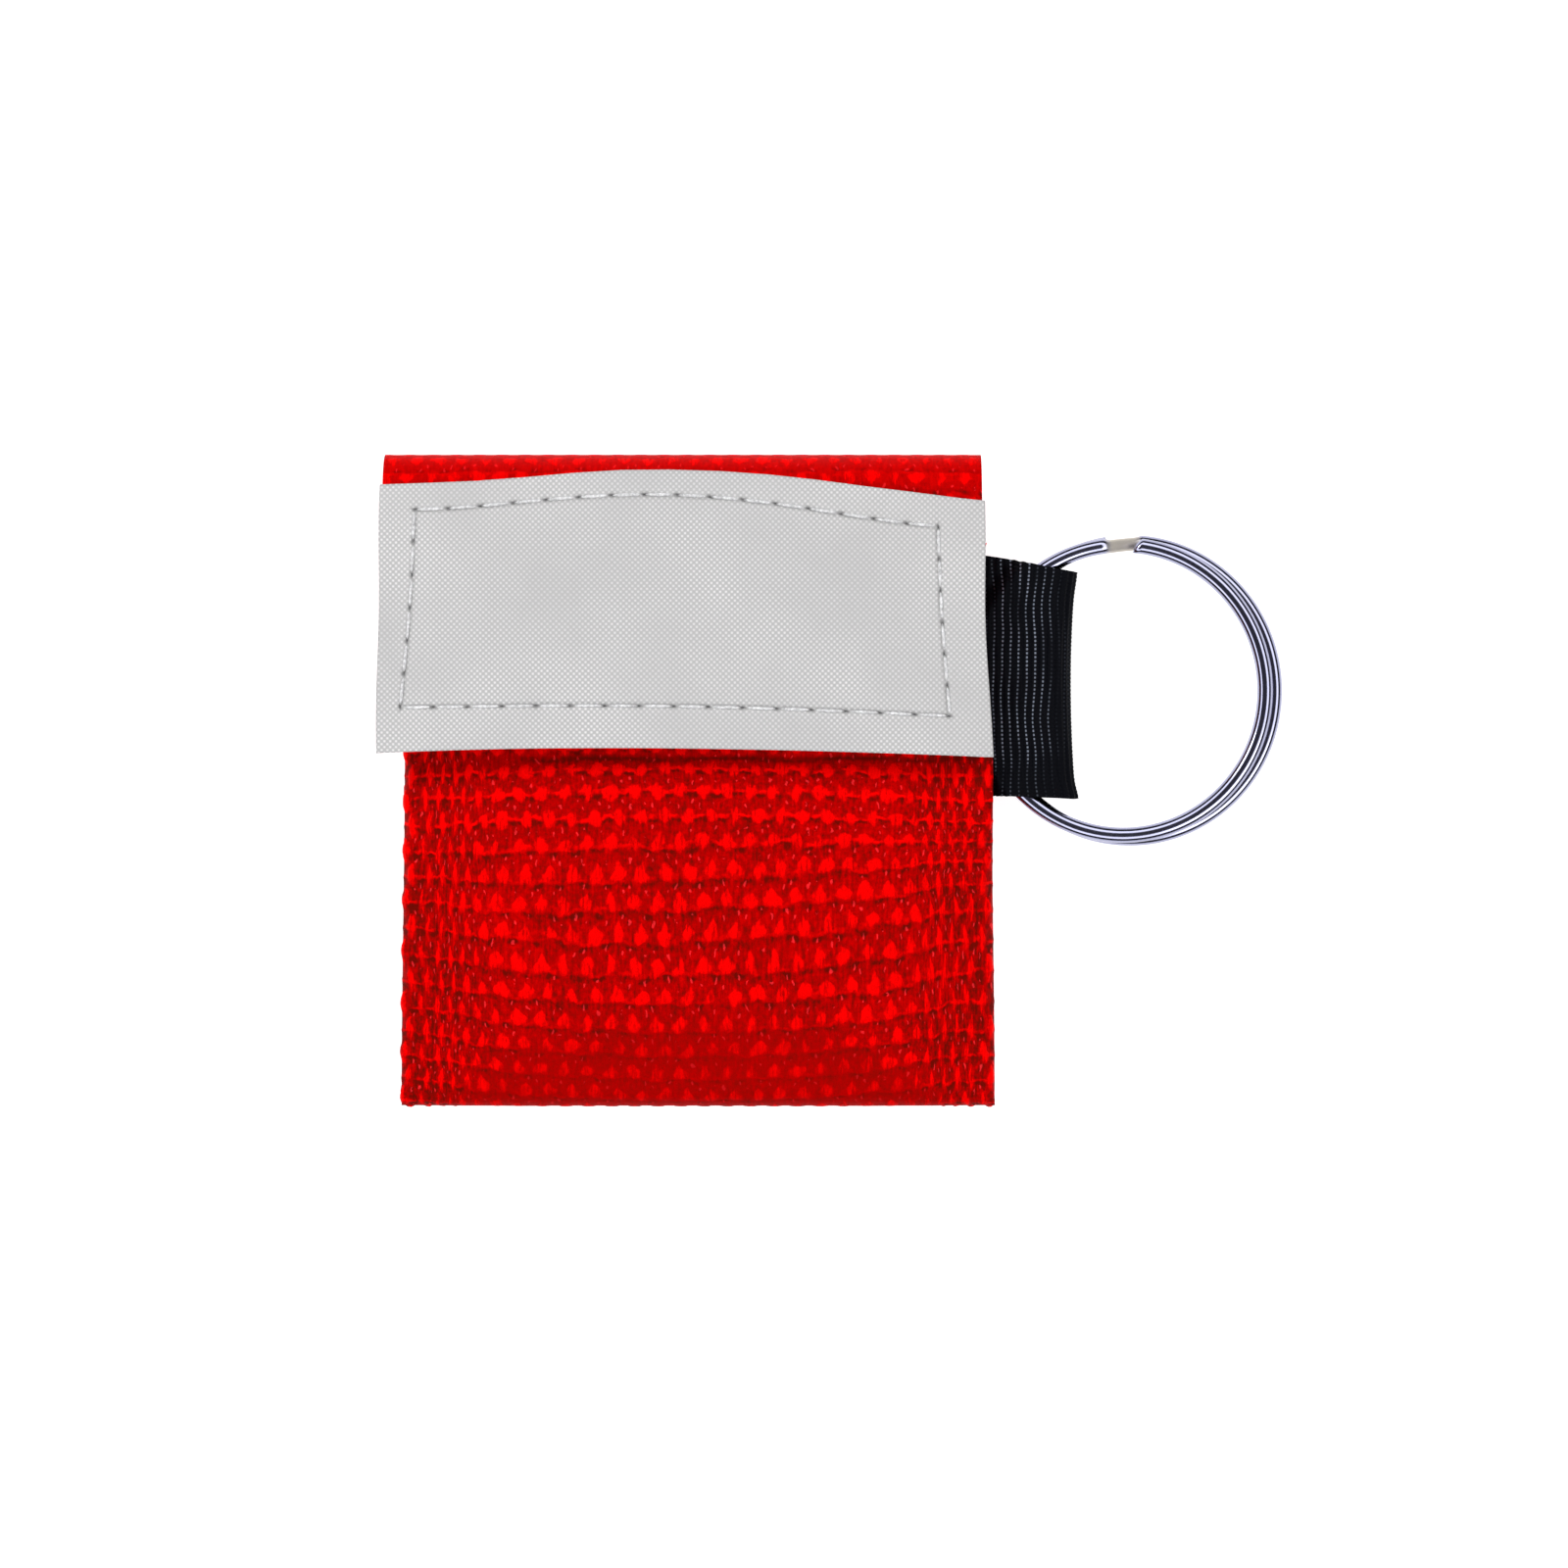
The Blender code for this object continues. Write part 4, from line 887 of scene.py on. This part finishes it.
class POUCH_OT_label(bpy.types.Operator):
    """Grey cloth label on the flap, with its stitches"""

    bl_idname = "pouch.label"
    bl_label = "Label"

    def execute(self, context):
        pitch = context.scene.pouch_sizes.stitch_pitch
        width = LABEL_HIGH.x - LABEL_LOW.x
        share = np.linspace(-1, 1, int(width / LABEL_STEP))
        rows = np.linspace(1, 0, int((LABEL_HIGH.y - LABEL_LOW.y) / LABEL_STEP))
        share, rise = np.meshgrid(share, rows)
        flare = np.where(share < 0, -0.2 + 0.33 * (1 - rise), -0.15 + 0.75 * (1 - rise) ** 2.5) * MM
        wave = 0.06 * MM * np.sin(rise * 9.0)
        x = FLAP_SHIFT + share * (FLAP_HALF + flare + wave * np.abs(share) ** 8)
        low_edge = label_low(x)
        y = low_edge + (label_top(x) - low_edge) * rise
        z = label_height(x, y)
        hole = np.zeros_like(x)
        dent = np.zeros_like(x)
        for seam in seam_points(pitch):
            for start, end in zip(seam[:-1], seam[1:]):
                run = end - start
                length = np.hypot(*run)
                part = ((x - start[0]) * run[0] + (y - start[1]) * run[1]) / length
                off = ((x - start[0]) * -run[1] + (y - start[1]) * run[0]) / length
                near = (part > -MM) & (part < length + MM) & (np.abs(off) < 2 * MM)
                inside = smooth(part / (0.5 * MM)) * smooth((length - part) / (0.5 * MM))
                groove = np.exp(-((off / (0.22 * MM)) ** 2)) * inside
                # groove, spot and pucker dent the cloth; spot is also painted shade in each needle hole, and line is a
                # painted shadow beside each stitch
                spot = np.exp(-(((part - 0.1 * MM) / (0.3 * MM)) ** 2) - (off / (0.14 * MM)) ** 2)
                inside = smooth(part / (0.4 * MM)) * smooth((length - part) / (0.4 * MM))
                line = np.exp(-(((off + 0.17 * MM) / (0.1 * MM)) ** 2)) * inside
                pucker = np.exp(-((part / (0.9 * MM)) ** 2)) * np.exp(-((off / (0.8 * MM)) ** 2))
                hole = np.maximum(hole, np.where(near, np.maximum(spot, 0.3 * line), 0))
                dent = np.maximum(dent, np.where(near, 0.09 * groove + 0.16 * spot + 0.07 * pucker, 0))
        z = z - dent * MM
        points = np.stack([x, y, z], axis=-1)
        inner = points - facing(points) * LABEL_WALL
        values = {"hole": np.clip(hole * 1.1, 0, 1)}
        label = shell("label_cloth", points, inner, np.stack([x, y], axis=-1), values)
        finish_with(label, oxford_cloth())
        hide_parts("flap_label")
        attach(label, "flap")
        piece = stitch_row("label_stitches", seam_points(pitch), label_height, 0.15 * MM)
        finish_with(piece, simple_cloth("grey polyester thread", "f4f4f4", 4000.0))
        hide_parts("flap_label_thread")
        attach(piece, "flap")
        return {"FINISHED"}


def tab_middle(x):
    """Height of the middle of the tab, which leans with the ring."""
    return RING_MID[2] + (RING_MID[0] - x) * math.tan(RING_TILT)


def tab_half(x, y):
    """Half the tab's thickness: its two plies lie together, and part round the ring by an S-shaped rise."""
    reach_out = np.hypot((x - RING_MID[0]) / math.cos(RING_TILT), y - RING_MID[1])
    return TAB_FLAT_HALF + (TAB_NOSE - TAB_FLAT_HALF) * smooth((RING_ROOM - reach_out) / (1.5 * MM))


class POUCH_OT_tab(bpy.types.Operator):
    """Black ribbed tab: one loop of webbing round the ring, and the row of thread at its root"""

    bl_idname = "pouch.tab"
    bl_label = "Tab"

    def execute(self, context):
        pitch = context.scene.pouch_sizes.rib_pitch
        root, reach = TAB_HINGE[0] + 0.2 * MM, TAB_REACH
        flat = reach - TAB_NOSE - root
        half_turn = math.pi * TAB_NOSE
        path = np.linspace(0, 2 * flat + half_turn, 230)
        y = np.linspace(-0.5, 0.5, 200)
        path, across = np.meshgrid(path, y)
        angle = np.clip((path - flat) / TAB_NOSE, 0, math.pi)
        x = np.where(path < flat, root + path, root + flat + TAB_NOSE * np.sin(angle))
        x = np.where(path > flat + half_turn, root + 2 * flat + half_turn - path, x)
        part = (x - root) / (reach - root)
        mid_y = (TAB_LOW_Y + TAB_HIGH_Y) / 2
        # both edges slant, the upper one more, and the free corners stand out
        wide = mid_y + across * TAB_WIDTH * (1 - 0.02 * part) - 0.5 * MM * (part - 0.5) + 0.12 * MM * part
        wide = wide + 0.75 * MM * (0.85 - part) * smooth(across + 0.5)
        bowed = smooth((x - root - 2 * MM) / flat)
        tip = np.exp(-(((across + 0.5) / 0.05) ** 2))
        corner = np.exp(-(((across - 0.5) / 0.08) ** 2))
        x = x + bowed * MM * (0.3 - 0.42 * (1 - (2 * across) ** 2) + 0.25 * tip + 0.15 * corner)
        # the upper corner droops, which keeps it clear of the ring
        droop = smooth((part - 0.3) / 0.65) * smooth((across + 0.1) / 0.5)
        wide = wide - 0.12 * MM * bowed * tip - 0.34 * MM * droop
        half = tab_half(x, wide)
        ribs = 0.07 * MM * np.cos(path * math.tau / pitch)
        fine = 0.02 * MM * np.cos(wide * math.tau / (pitch / 2))
        z = tab_middle(x) + half * np.cos(angle)
        points = np.stack([x, wide, z], axis=-1)
        normal = -facing(points)
        outer = points + normal * (fine - ribs)[..., None]
        inner = points - normal * TAB_PLY
        # painted highlight strength of the tab's glints: fading round the nose, at the root and towards one edge
        shine = 1 - smooth((x - reach + 3.2 * MM) / (2.2 * MM)) * 0.92
        shine = shine * (0.35 + 0.65 * smooth((x - root - 2.2 * MM) / (1.2 * MM)))
        shine = shine * (1 - 0.8 * smooth((mid_y - 7.6 * MM - wide + 0.25 * (x - root)) / (1.5 * MM)))
        uv = np.stack([path, wide], axis=-1)
        tab = shell("tab_loop", outer[:, ::-1], inner[:, ::-1], uv[:, ::-1], {"shine": shine[:, ::-1]})
        finish_with(tab, grosgrain())
        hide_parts("tab_webbing")
        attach(tab, "tab")
        y = np.linspace(-0.45, 0.45, 8) * TAB_WIDTH + mid_y
        line = np.stack([np.full_like(y, root + 0.7 * MM), y], axis=-1)
        piece = stitch_row("tab_stitches", [line], lambda x, y: tab_middle(x) + tab_half(x, y) + 0.14 * MM, 0.17 * MM)
        finish_with(piece, simple_cloth("black polyester thread", "0c0c0e", 4000.0))
        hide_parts("tab_thread")
        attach(piece, "tab")
        return {"FINISHED"}


class POUCH_OT_ring(bpy.types.Operator):
    """Split ring: two turns of flattened nickel wire that step past each other once"""

    bl_idname = "pouch.ring"
    bl_label = "Ring"

    def execute(self, context):
        count, sides = 520, 24
        turn = np.linspace(0, 2 * math.tau - RING_STEP_ANGLE * 1.02, count)
        drop = smooth((turn - math.tau + RING_STEP_ANGLE) / RING_STEP_ANGLE)
        angle = RING_STEP_START - turn
        level = RING_PITCH * (0.5 - drop)
        radius = RING_RADIUS + RING_LOWER_WIDER * drop
        aside = -RING_ASIDE * (0.5 - drop) + RING_LOWER_ASIDE * drop
        centre = np.stack([radius * np.cos(angle) + aside, radius * np.sin(angle), level], axis=-1)
        # the step is crimped: flatter, and pressed in a little
        crimp = smooth((turn - math.tau + RING_STEP_ANGLE) / 0.05) * smooth((math.tau - turn) / 0.05)
        around = np.arange(sides) * math.tau / sides
        wide = np.sign(np.cos(around)) * np.abs(np.cos(around)) ** RING_WIRE_POWER * RING_WIRE_WIDE
        tall = np.sign(np.sin(around)) * np.abs(np.sin(around)) ** RING_WIRE_POWER * RING_WIRE_TALL
        out = np.stack([np.cos(angle), np.sin(angle), 0 * angle], axis=-1)
        forward = np.stack([np.sin(angle), -np.cos(angle), 0 * angle], axis=-1)
        size = (smooth(turn / 0.012) * smooth((turn[-1] - turn) / 0.012))[:, None]
        crimp_row = crimp[:, None]
        # the upper turn's cut end slants
        lean = 0.45 * MM * (1 - smooth(turn / 0.08))[:, None] * np.cos(around)
        reach = wide * size * (1 - 0.16 * crimp_row) - 0.1 * MM * crimp_row
        ring = centre[:, None] + out[:, None] * reach[..., None]
        ring[..., 2] += tall * size * (1 - 0.22 * crimp_row)
        ring += forward[:, None] * (lean * size)[..., None]
        turned = np.array(
            [[math.cos(RING_TILT), 0, math.sin(RING_TILT)], [0, 1, 0], [-math.sin(RING_TILT), 0, math.cos(RING_TILT)]]
        )
        points = ring.reshape(-1, 3) @ turned.T + RING_MID
        matte = np.repeat(np.clip(crimp * 1.3, 0, 1), sides)
        piece = add_mesh("nickel_ring", points, tube_faces(1, count, sides), None, {"matte": matte})
        close_ends(piece)
        finish_with(piece, nickel_plate())
        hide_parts("split_ring")
        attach(piece, "ring")
        return {"FINISHED"}


class POUCH_OT_closure(bpy.types.Operator):
    """Hook tape with its hooks inside the flap, and loop tape with its nap on the front wall"""

    bl_idname = "pouch.closure"
    bl_label = "Closure"

    def execute(self, context):
        nylon = simple_cloth("black nylon tape", "18181a", 3000.0, 0.6)
        pile = simple_cloth("black brushed nylon pile", "1c1c1f", 2200.0, 0.95)
        thread = simple_cloth("dark grey polyester thread", "38383c", 4000.0)
        low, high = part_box("loop_tape")
        spans = (low.x, high.x), (low.y, high.y)
        tape = soft_strip("loop_pile", *spans, lambda x, y: front_z(x, y) + 0.16 * MM, 0.56 * MM)
        finish_with(tape, pile)
        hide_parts("loop_tape")
        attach(tape, "pouch")
        inset = 0.9 * MM
        left, right, near, far = low.x + inset, high.x - inset, low.y + inset, high.y - inset
        corner = np.array([(left, near), (right, near), (right, far), (left, far)])
        lines = []
        for start, end in zip(corner, np.roll(corner, -1, axis=0)):
            count = int(round(np.hypot(*(end - start)) / (2.4 * MM)))
            lines.append(start + (end - start) * np.linspace(0, 1, count + 1)[:, None])
        seam = stitch_row("loop_pile_stitches", lines, lambda x, y: front_z(x, y) + 0.84 * MM, 0.2 * MM)
        finish_with(seam, thread)
        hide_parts("loop_tape_thread")
        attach(seam, "pouch")
        low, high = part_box("hook_tape")
        spans = (low.x, high.x), (low.y, high.y)
        tape = soft_strip("hook_base", *spans, lambda x, y: flap_z(x) - WALL - 0.14 * MM, 0.62 * MM, down=True)
        finish_with(tape, nylon)
        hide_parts("hook_tape")
        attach(tape, "flap")
        hooks = self.hooks()
        finish_with(hooks, nylon)
        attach(hooks, "flap")
        nap = self.nap()
        finish_with(nap, pile)
        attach(nap, "pouch")
        return {"FINISHED"}

    def hooks(self):
        """Hooks in even rows on the hook tape: each a thin filament bent over by 200 degrees of a tall ellipse. They
        are drawn coarser than real ones, which would be too fine to show."""
        low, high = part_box("hook_tape")
        x, y = np.meshgrid(np.arange(low.x + 0.6 * MM, high.x, 1.2 * MM), np.arange(low.y + 0.6 * MM, high.y, 1.0 * MM))
        x, y = x.ravel(), y.ravel()
        part = np.linspace(0, 1, 9)
        bend = np.radians(200) * part
        reach = 0.09 * MM
        base = flap_z(x) - WALL - 0.8 * MM
        across = x[:, None] + reach * (1 - np.cos(bend))
        down = base[:, None] - reach * np.sin(bend) * 1.3 + 0.02 * MM
        paths = np.stack([across, np.broadcast_to(y[:, None], across.shape), down], axis=-1)
        radii = np.broadcast_to(np.where((part == 0) | (part == 1), 0.0, 0.035 * MM), paths.shape[:2])
        piece = tubes("closure_hooks", paths, radii, 6)
        close_ends(piece)
        return piece

    def nap(self):
        """Nap of the loop tape: 900 low arches of filament at random places, headings and lengths, each half a cosine
        along and half a sine up."""
        draw = np.random.default_rng(7)
        low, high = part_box("loop_tape")
        count = 900
        x = draw.uniform(low.x + MM * 0.4, high.x - MM * 0.4, count)
        y = draw.uniform(low.y + MM * 0.4, high.y - MM * 0.4, count)
        heading = draw.uniform(0, math.tau, count)
        swing = np.linspace(0, math.pi, 8)
        size = draw.uniform(0.25, 0.6, count) * MM
        run = size[:, None] * np.cos(swing)
        along_x, along_y = run * np.cos(heading)[:, None], run * np.sin(heading)[:, None]
        height = front_z(x, y)[:, None] + 0.78 * MM + 0.12 * MM * np.sin(swing)
        paths = np.stack([x[:, None] + along_x, y[:, None] + along_y, height], axis=-1)
        radii = np.broadcast_to(np.where((swing == 0) | (swing == math.pi), 0.0, 0.03 * MM), paths.shape[:2])
        piece = tubes("closure_nap", paths, radii, 5)
        close_ends(piece)
        return piece


class POUCH_OT_contents(bpy.types.Operator):
    """Film folded in zigzag layers, its valve's finishes and felt pad, and its ear loops"""

    bl_idname = "pouch.contents"
    bl_label = "Contents"

    def execute(self, context):
        low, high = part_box("barrier_film")
        layers = 11
        gap = (high.z - low.z - 0.16 * MM) / (layers - 1)
        bend = gap / 2
        run = high.y - low.y - 2 * bend
        share = np.linspace(0, 1, 14)
        turn = np.linspace(0, math.pi, 7)[1:-1]
        ys, zs = [], []
        for layer in range(layers):
            base = low.z + 0.08 * MM + layer * gap
            forward = layer % 2 == 0
            start, end = (low.y + bend, low.y + bend + run) if forward else (low.y + bend + run, low.y + bend)
            ys.append(start + (end - start) * share)
            zs.append(np.full(len(share), base))
            if layer < layers - 1:
                ys.append(end + (1 if forward else -1) * bend * np.sin(turn))
                zs.append(base + bend - bend * np.cos(turn))
        y, z = np.concatenate(ys), np.concatenate(zs)
        x = np.linspace(low.x, high.x, 60)
        across, y = np.meshgrid(x, y)
        z = np.broadcast_to(z[:, None], y.shape) + 0.03 * MM * np.sin(across / MM * 0.9) * np.sin(y / MM * 0.5)
        points = np.stack([across, y, z], axis=-1)
        skin = facing(points) * 0.03 * MM
        along = np.cumsum(np.linalg.norm(np.diff(points[:, 0], axis=0, prepend=points[:1, 0]), axis=-1))
        uv = np.stack([across, np.broadcast_to(along[:, None], across.shape)], axis=-1)
        film = shell("folded_film", points + skin, points - skin, uv)
        finish_with(film, clear_film())
        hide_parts("barrier_film")
        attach(film, "contents")
        finishes = {
            "valve_housing": simple_cloth("moulded white polypropylene", "f0f0ee", 500.0, 0.4),
            "valve_membrane": simple_cloth("clear silicone rubber", "d8dde0", 700.0, 0.35),
        }
        for node, made in finishes.items():
            frame["nodes"][node].data.materials.clear()
            frame["nodes"][node].data.materials.append(made)
        self.filter_pad()
        self.ear_loops()
        return {"FINISHED"}

    def filter_pad(self):
        """Round felt pad: a profile with soft edges turned about the valve's axis, and a low dome in its middle."""
        low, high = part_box("filter_disc")
        radius, middle = (high.x - low.x) / 2, (low + high) / 2
        share = np.concatenate([np.linspace(0, 0.94, 14), 0.94 + 0.06 * np.sin(np.radians(np.linspace(15, 90, 6)))])
        soft = np.sqrt(1 - np.clip((share - 0.94) / 0.06, 0, 1) ** 2)
        wall = (high.z - low.z) / 2
        upper, lower = wall * soft * (1 - 0.12 * share**2), -wall * soft
        profile = np.concatenate([np.stack([share, upper], -1), np.stack([share, lower], -1)[-2::-1]])
        angle = np.linspace(0, math.tau, 73)
        x = middle.x + radius * profile[:, 0, None] * np.cos(angle)
        y = middle.y + radius * profile[:, 0, None] * np.sin(angle)
        points = np.stack([x, y, np.broadcast_to(middle.z + profile[:, 1, None], x.shape)], axis=-1)
        faces = grid_faces(*x.shape)
        piece = add_mesh("filter_felt", points.reshape(-1, 3), faces, points[..., :2].reshape(-1, 2))
        close_ends(piece)
        finish_with(piece, simple_cloth("white filter felt", "f4f4f4", 2500.0, 0.95))
        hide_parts("filter_disc")
        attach(piece, "contents")

    def ear_loops(self):
        """Elastic loops, each with its two ends welded to the film: a racetrack path, with a braid's low bumps."""
        made = simple_cloth("white braided elastic", "e8e8e8", 2000.0)
        thick = 1.0 * MM
        for word, side in (("left", -1), ("right", 1)):
            low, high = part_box(f"ear_loop_{word}")
            middle = (low + high) / 2
            bend = (high.x - low.x - thick) / 2
            straight = (high.y - low.y - thick) / 2 - bend
            gap = 1.6 * MM
            turn = np.linspace(0, math.pi, 40)
            up = np.linspace(gap, straight, 30)
            inner_x, outer_x = -side * bend, side * bend
            legs = (
                (np.full(30, inner_x), up),
                (inner_x * np.cos(turn), straight + bend * np.sin(turn)),
                (np.full(70, outer_x), np.linspace(straight, -straight, 70)),
                (-inner_x * np.cos(turn), -straight - bend * np.sin(turn)),
                (np.full(30, inner_x), -up[::-1]),
            )
            x = np.concatenate([leg[0] for leg in legs]) + middle.x
            y = np.concatenate([leg[1] for leg in legs]) + middle.y
            keep = np.concatenate([[True], np.hypot(np.diff(x), np.diff(y)) > 1e-7])
            path = np.stack([x[keep], y[keep], np.full(keep.sum(), middle.z)], axis=-1)
            place = np.arange(len(path))
            radii = thick / 2 * (0.96 + 0.04 * np.cos(place * 2.2)) * (place > 0) * (place < len(path) - 1)
            piece = tubes(f"ear_elastic_{word}", path[None], radii[None], 16)
            close_ends(piece)
            finish_with(piece, made)
            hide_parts(f"ear_loop_{word}")
            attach(piece, "contents")


class POUCH_OT_seams(bpy.types.Operator):
    """Turned-in edges of the two walls at each side, and the stitches that close them"""

    bl_idname = "pouch.seams"
    bl_label = "Seams"

    def execute(self, context):
        made = webbing_finish()
        thread = simple_cloth("red polyester thread", "c00808", 4000.0)
        for word, side in (("left", -1), ("right", 1)):
            node_low, node_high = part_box(f"side_seam_allowance_{word}")
            plies = [self.ply(side, node_low.y, node_high.y, upper) for upper in (True, False)]
            faces = np.concatenate([plies[0][1], plies[1][1] + len(plies[0][0])])
            points = np.concatenate([plies[0][0], plies[1][0]])
            ones = np.ones(len(points))
            # painted shade: the turned-in edges are a little darker, with weaker painted highlights
            values = {"shine": 0.6 * ones, "plain": -0.1 * ones, "fin": 0 * ones, "spindle": 0 * ones}
            piece = add_mesh(f"turned_edges_{word}", points, faces, points[:, :2], values)
            close_ends(piece)
            finish_with(piece, made)
            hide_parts(f"side_seam_allowance_{word}")
            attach(piece, "pouch")
            node_low, node_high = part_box(f"side_seam_thread_{word}")
            y = np.linspace(node_low.y, node_high.y, int((node_high.y - node_low.y) / (2.6 * MM)) + 1)
            line = np.stack([np.full_like(y, (node_low.x + node_high.x) / 2), y], axis=-1)
            seam = stitch_row(f"side_stitches_{word}", [line], lambda x, y: SEAM_HEIGHT + 0.16 * MM + 0 * x, 0.24 * MM)
            finish_with(seam, thread)
            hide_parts(f"side_seam_thread_{word}")
            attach(seam, "pouch")
        return {"FINISHED"}

    def ply(self, side, low_y, high_y, upper):
        """Points and faces of one turned-in ply: it fills the room from the middle of the seam to its wall, and its
        edges are rounded. On the tab's side it ends where the tab's root begins."""
        x = np.linspace(0, 1, 16)
        y = np.linspace(high_y, low_y, 130)
        x, y = np.meshgrid(x, y)
        end = HALF - 0.35 * MM
        if side > 0:
            room = smooth((y - TAB_LOW_Y + 2.8 * MM) / (0.8 * MM))
            end = end + (TAB_HINGE[0] - 0.25 * MM - end) * room
        start = HALF - 4.2 * MM
        x = side * (start + (end - start) * x)
        nudge = 0.1 * MM
        slope = (front_z(x + nudge, y) - front_z(x - nudge, y)) / (2 * nudge)
        fall = (back_z(x + nudge, y) - back_z(x - nudge, y)) / (2 * nudge)
        rim = np.full_like(x, side * HALF)
        share = smooth((np.abs(x) - HALF + 2.2 * MM) / (0.9 * MM))
        high = front_z(x, y) - PLY * np.sqrt(1 + slope**2) - 0.1 * MM
        high = high + (front_z(rim, y) - EDGE_HALF + 0.33 * MM - high) * share
        low = back_z(x, y) + PLY * np.sqrt(1 + fall**2) + 0.1 * MM
        low = low + (back_z(rim, y) + EDGE_HALF - 0.33 * MM - low) * share
        middle = (high + low) / 2
        top, base = (high, middle + 0.03 * MM) if upper else (middle - 0.03 * MM, low)
        inset = np.minimum(np.abs(x) - start, np.minimum(end - np.abs(x), np.minimum(y - low_y, high_y - y)))
        soft = np.sqrt(1 - (1 - np.clip(inset / (0.3 * MM), 0, 1)) ** 2)
        centre, half = (top + base) / 2, (top - base) / 2 * (0.35 + 0.65 * soft)
        order = slice(None, None, side)
        outer = np.stack([x, y, centre + half], axis=-1)[:, order]
        inner = np.stack([x, y, centre - half], axis=-1)[:, order]
        return closed_sheet(outer, inner)


class POUCH_OT_stage(bpy.types.Operator):
    """Pale floor, soft studio light and the camera straight above"""

    bl_idname = "pouch.stage"
    bl_label = "Stage"

    def execute(self, context):
        scene = context.scene
        scene.view_settings.view_transform = "Standard"
        bpy.ops.mesh.primitive_plane_add(size=6.0, location=(0, 0, -0.00005))
        floor = context.object
        floor.name = "floor"
        made, _, shader = new_material("white opal light table")
        glow = {"Emission Color": (1.0, 1.0, 1.0, 1.0), "Emission Strength": 0.88}
        fill(shader, {"Base Color": linear("b4b4b4"), "Roughness": 0.9, "Specular IOR Level": 0.0, **glow})
        floor.data.materials.append(made)
        world = bpy.data.worlds.new("soft studio")
        world.use_nodes = True
        add = functools.partial(add_node, world.node_tree)
        height = add("SeparateXYZ", add("TexCoord", output="Generated"), output=2)
        # light by height: a dim glow from below, a dark horizon that gives metal its dark lines, and one bright band
        bands = ((0.12, 0.35), (0.3, 0.02), (0.6, 0.02), (0.67, 2.3), (0.84, 2.3), (0.9, 0.05))
        stops = [(position, (level, level, level * 1.02, 1.0)) for position, level in bands]
        ends = (0.0, (0.45, 0.45, 0.6, 1.0)), (0.96, (0.05, 0.05, 0.06, 1.0))
        light_by_height = add("ValToRGB", height, stops=(ends[0], *stops, ends[1]))
        light_by_height.node.color_ramp.interpolation = "EASE"
        fill(world.node_tree.nodes["Background"], {"Color": light_by_height, "Strength": 1.0})
        scene.world = world
        for name, place, size, power in (
            ("key", (-0.35, 0.35, 0.6), 0.25, 1.2),
            ("fill", (0.45, -0.2, 0.5), 0.3, 0.4),
        ):
            light = bpy.data.lights.new(name, "AREA")
            light.shape = "DISK"
            light.size = size
            light.energy = power
            lamp = bpy.data.objects.new(name, light)
            lamp.location = place
            lamp.rotation_euler = (-lamp.location).to_track_quat("-Z", "Y").to_euler()
            scene.collection.objects.link(lamp)
        lens = bpy.data.cameras.new("camera")
        lens.lens = 120
        lens.sensor_width = 36
        lens.clip_end = 20
        camera = bpy.data.objects.new("camera", lens)
        camera.location = (7.3 * MM, -0.4 * MM, 449 * MM)
        scene.collection.objects.link(camera)
        scene.camera = camera
        return {"FINISHED"}


OPERATORS = (
    POUCH_OT_stage,
    POUCH_OT_walls,
    POUCH_OT_flap,
    POUCH_OT_label,
    POUCH_OT_tab,
    POUCH_OT_ring,
    POUCH_OT_closure,
    POUCH_OT_contents,
    POUCH_OT_seams,
)


class POUCH_PT_sidebar(bpy.types.Panel):
    """Sizes, colours and a button for each group of pieces"""

    bl_label = "Key Ring Pouch"
    bl_space_type = "VIEW_3D"
    bl_region_type = "UI"
    bl_category = "Pouch"

    def draw(self, context):
        for group in (context.scene.pouch_sizes, context.scene.pouch_colours):
            for name in group.__annotations__:
                self.layout.prop(group, name)
        for operator in OPERATORS:
            self.layout.operator(operator.bl_idname)


CLASSES = (PouchSizes, PouchColours, *OPERATORS, POUCH_PT_sidebar)


def register():
    """Registers the classes and gives every scene its sizes and colours."""
    for item in CLASSES:
        bpy.utils.register_class(item)
    bpy.types.Scene.pouch_sizes = bpy.props.PointerProperty(type=PouchSizes)
    bpy.types.Scene.pouch_colours = bpy.props.PointerProperty(type=PouchColours)


def unregister():
    """Takes away what register() added."""
    del bpy.types.Scene.pouch_sizes
    del bpy.types.Scene.pouch_colours
    for item in reversed(CLASSES):
        bpy.utils.unregister_class(item)


def main():
    """Makes every piece by its operator, in order."""
    register()
    for operator in OPERATORS:
        group, name = operator.bl_idname.split(".")
        getattr(getattr(bpy.ops, group), name)()
    bpy.context.view_layer.update()


if __name__ == "__main__":
    main()
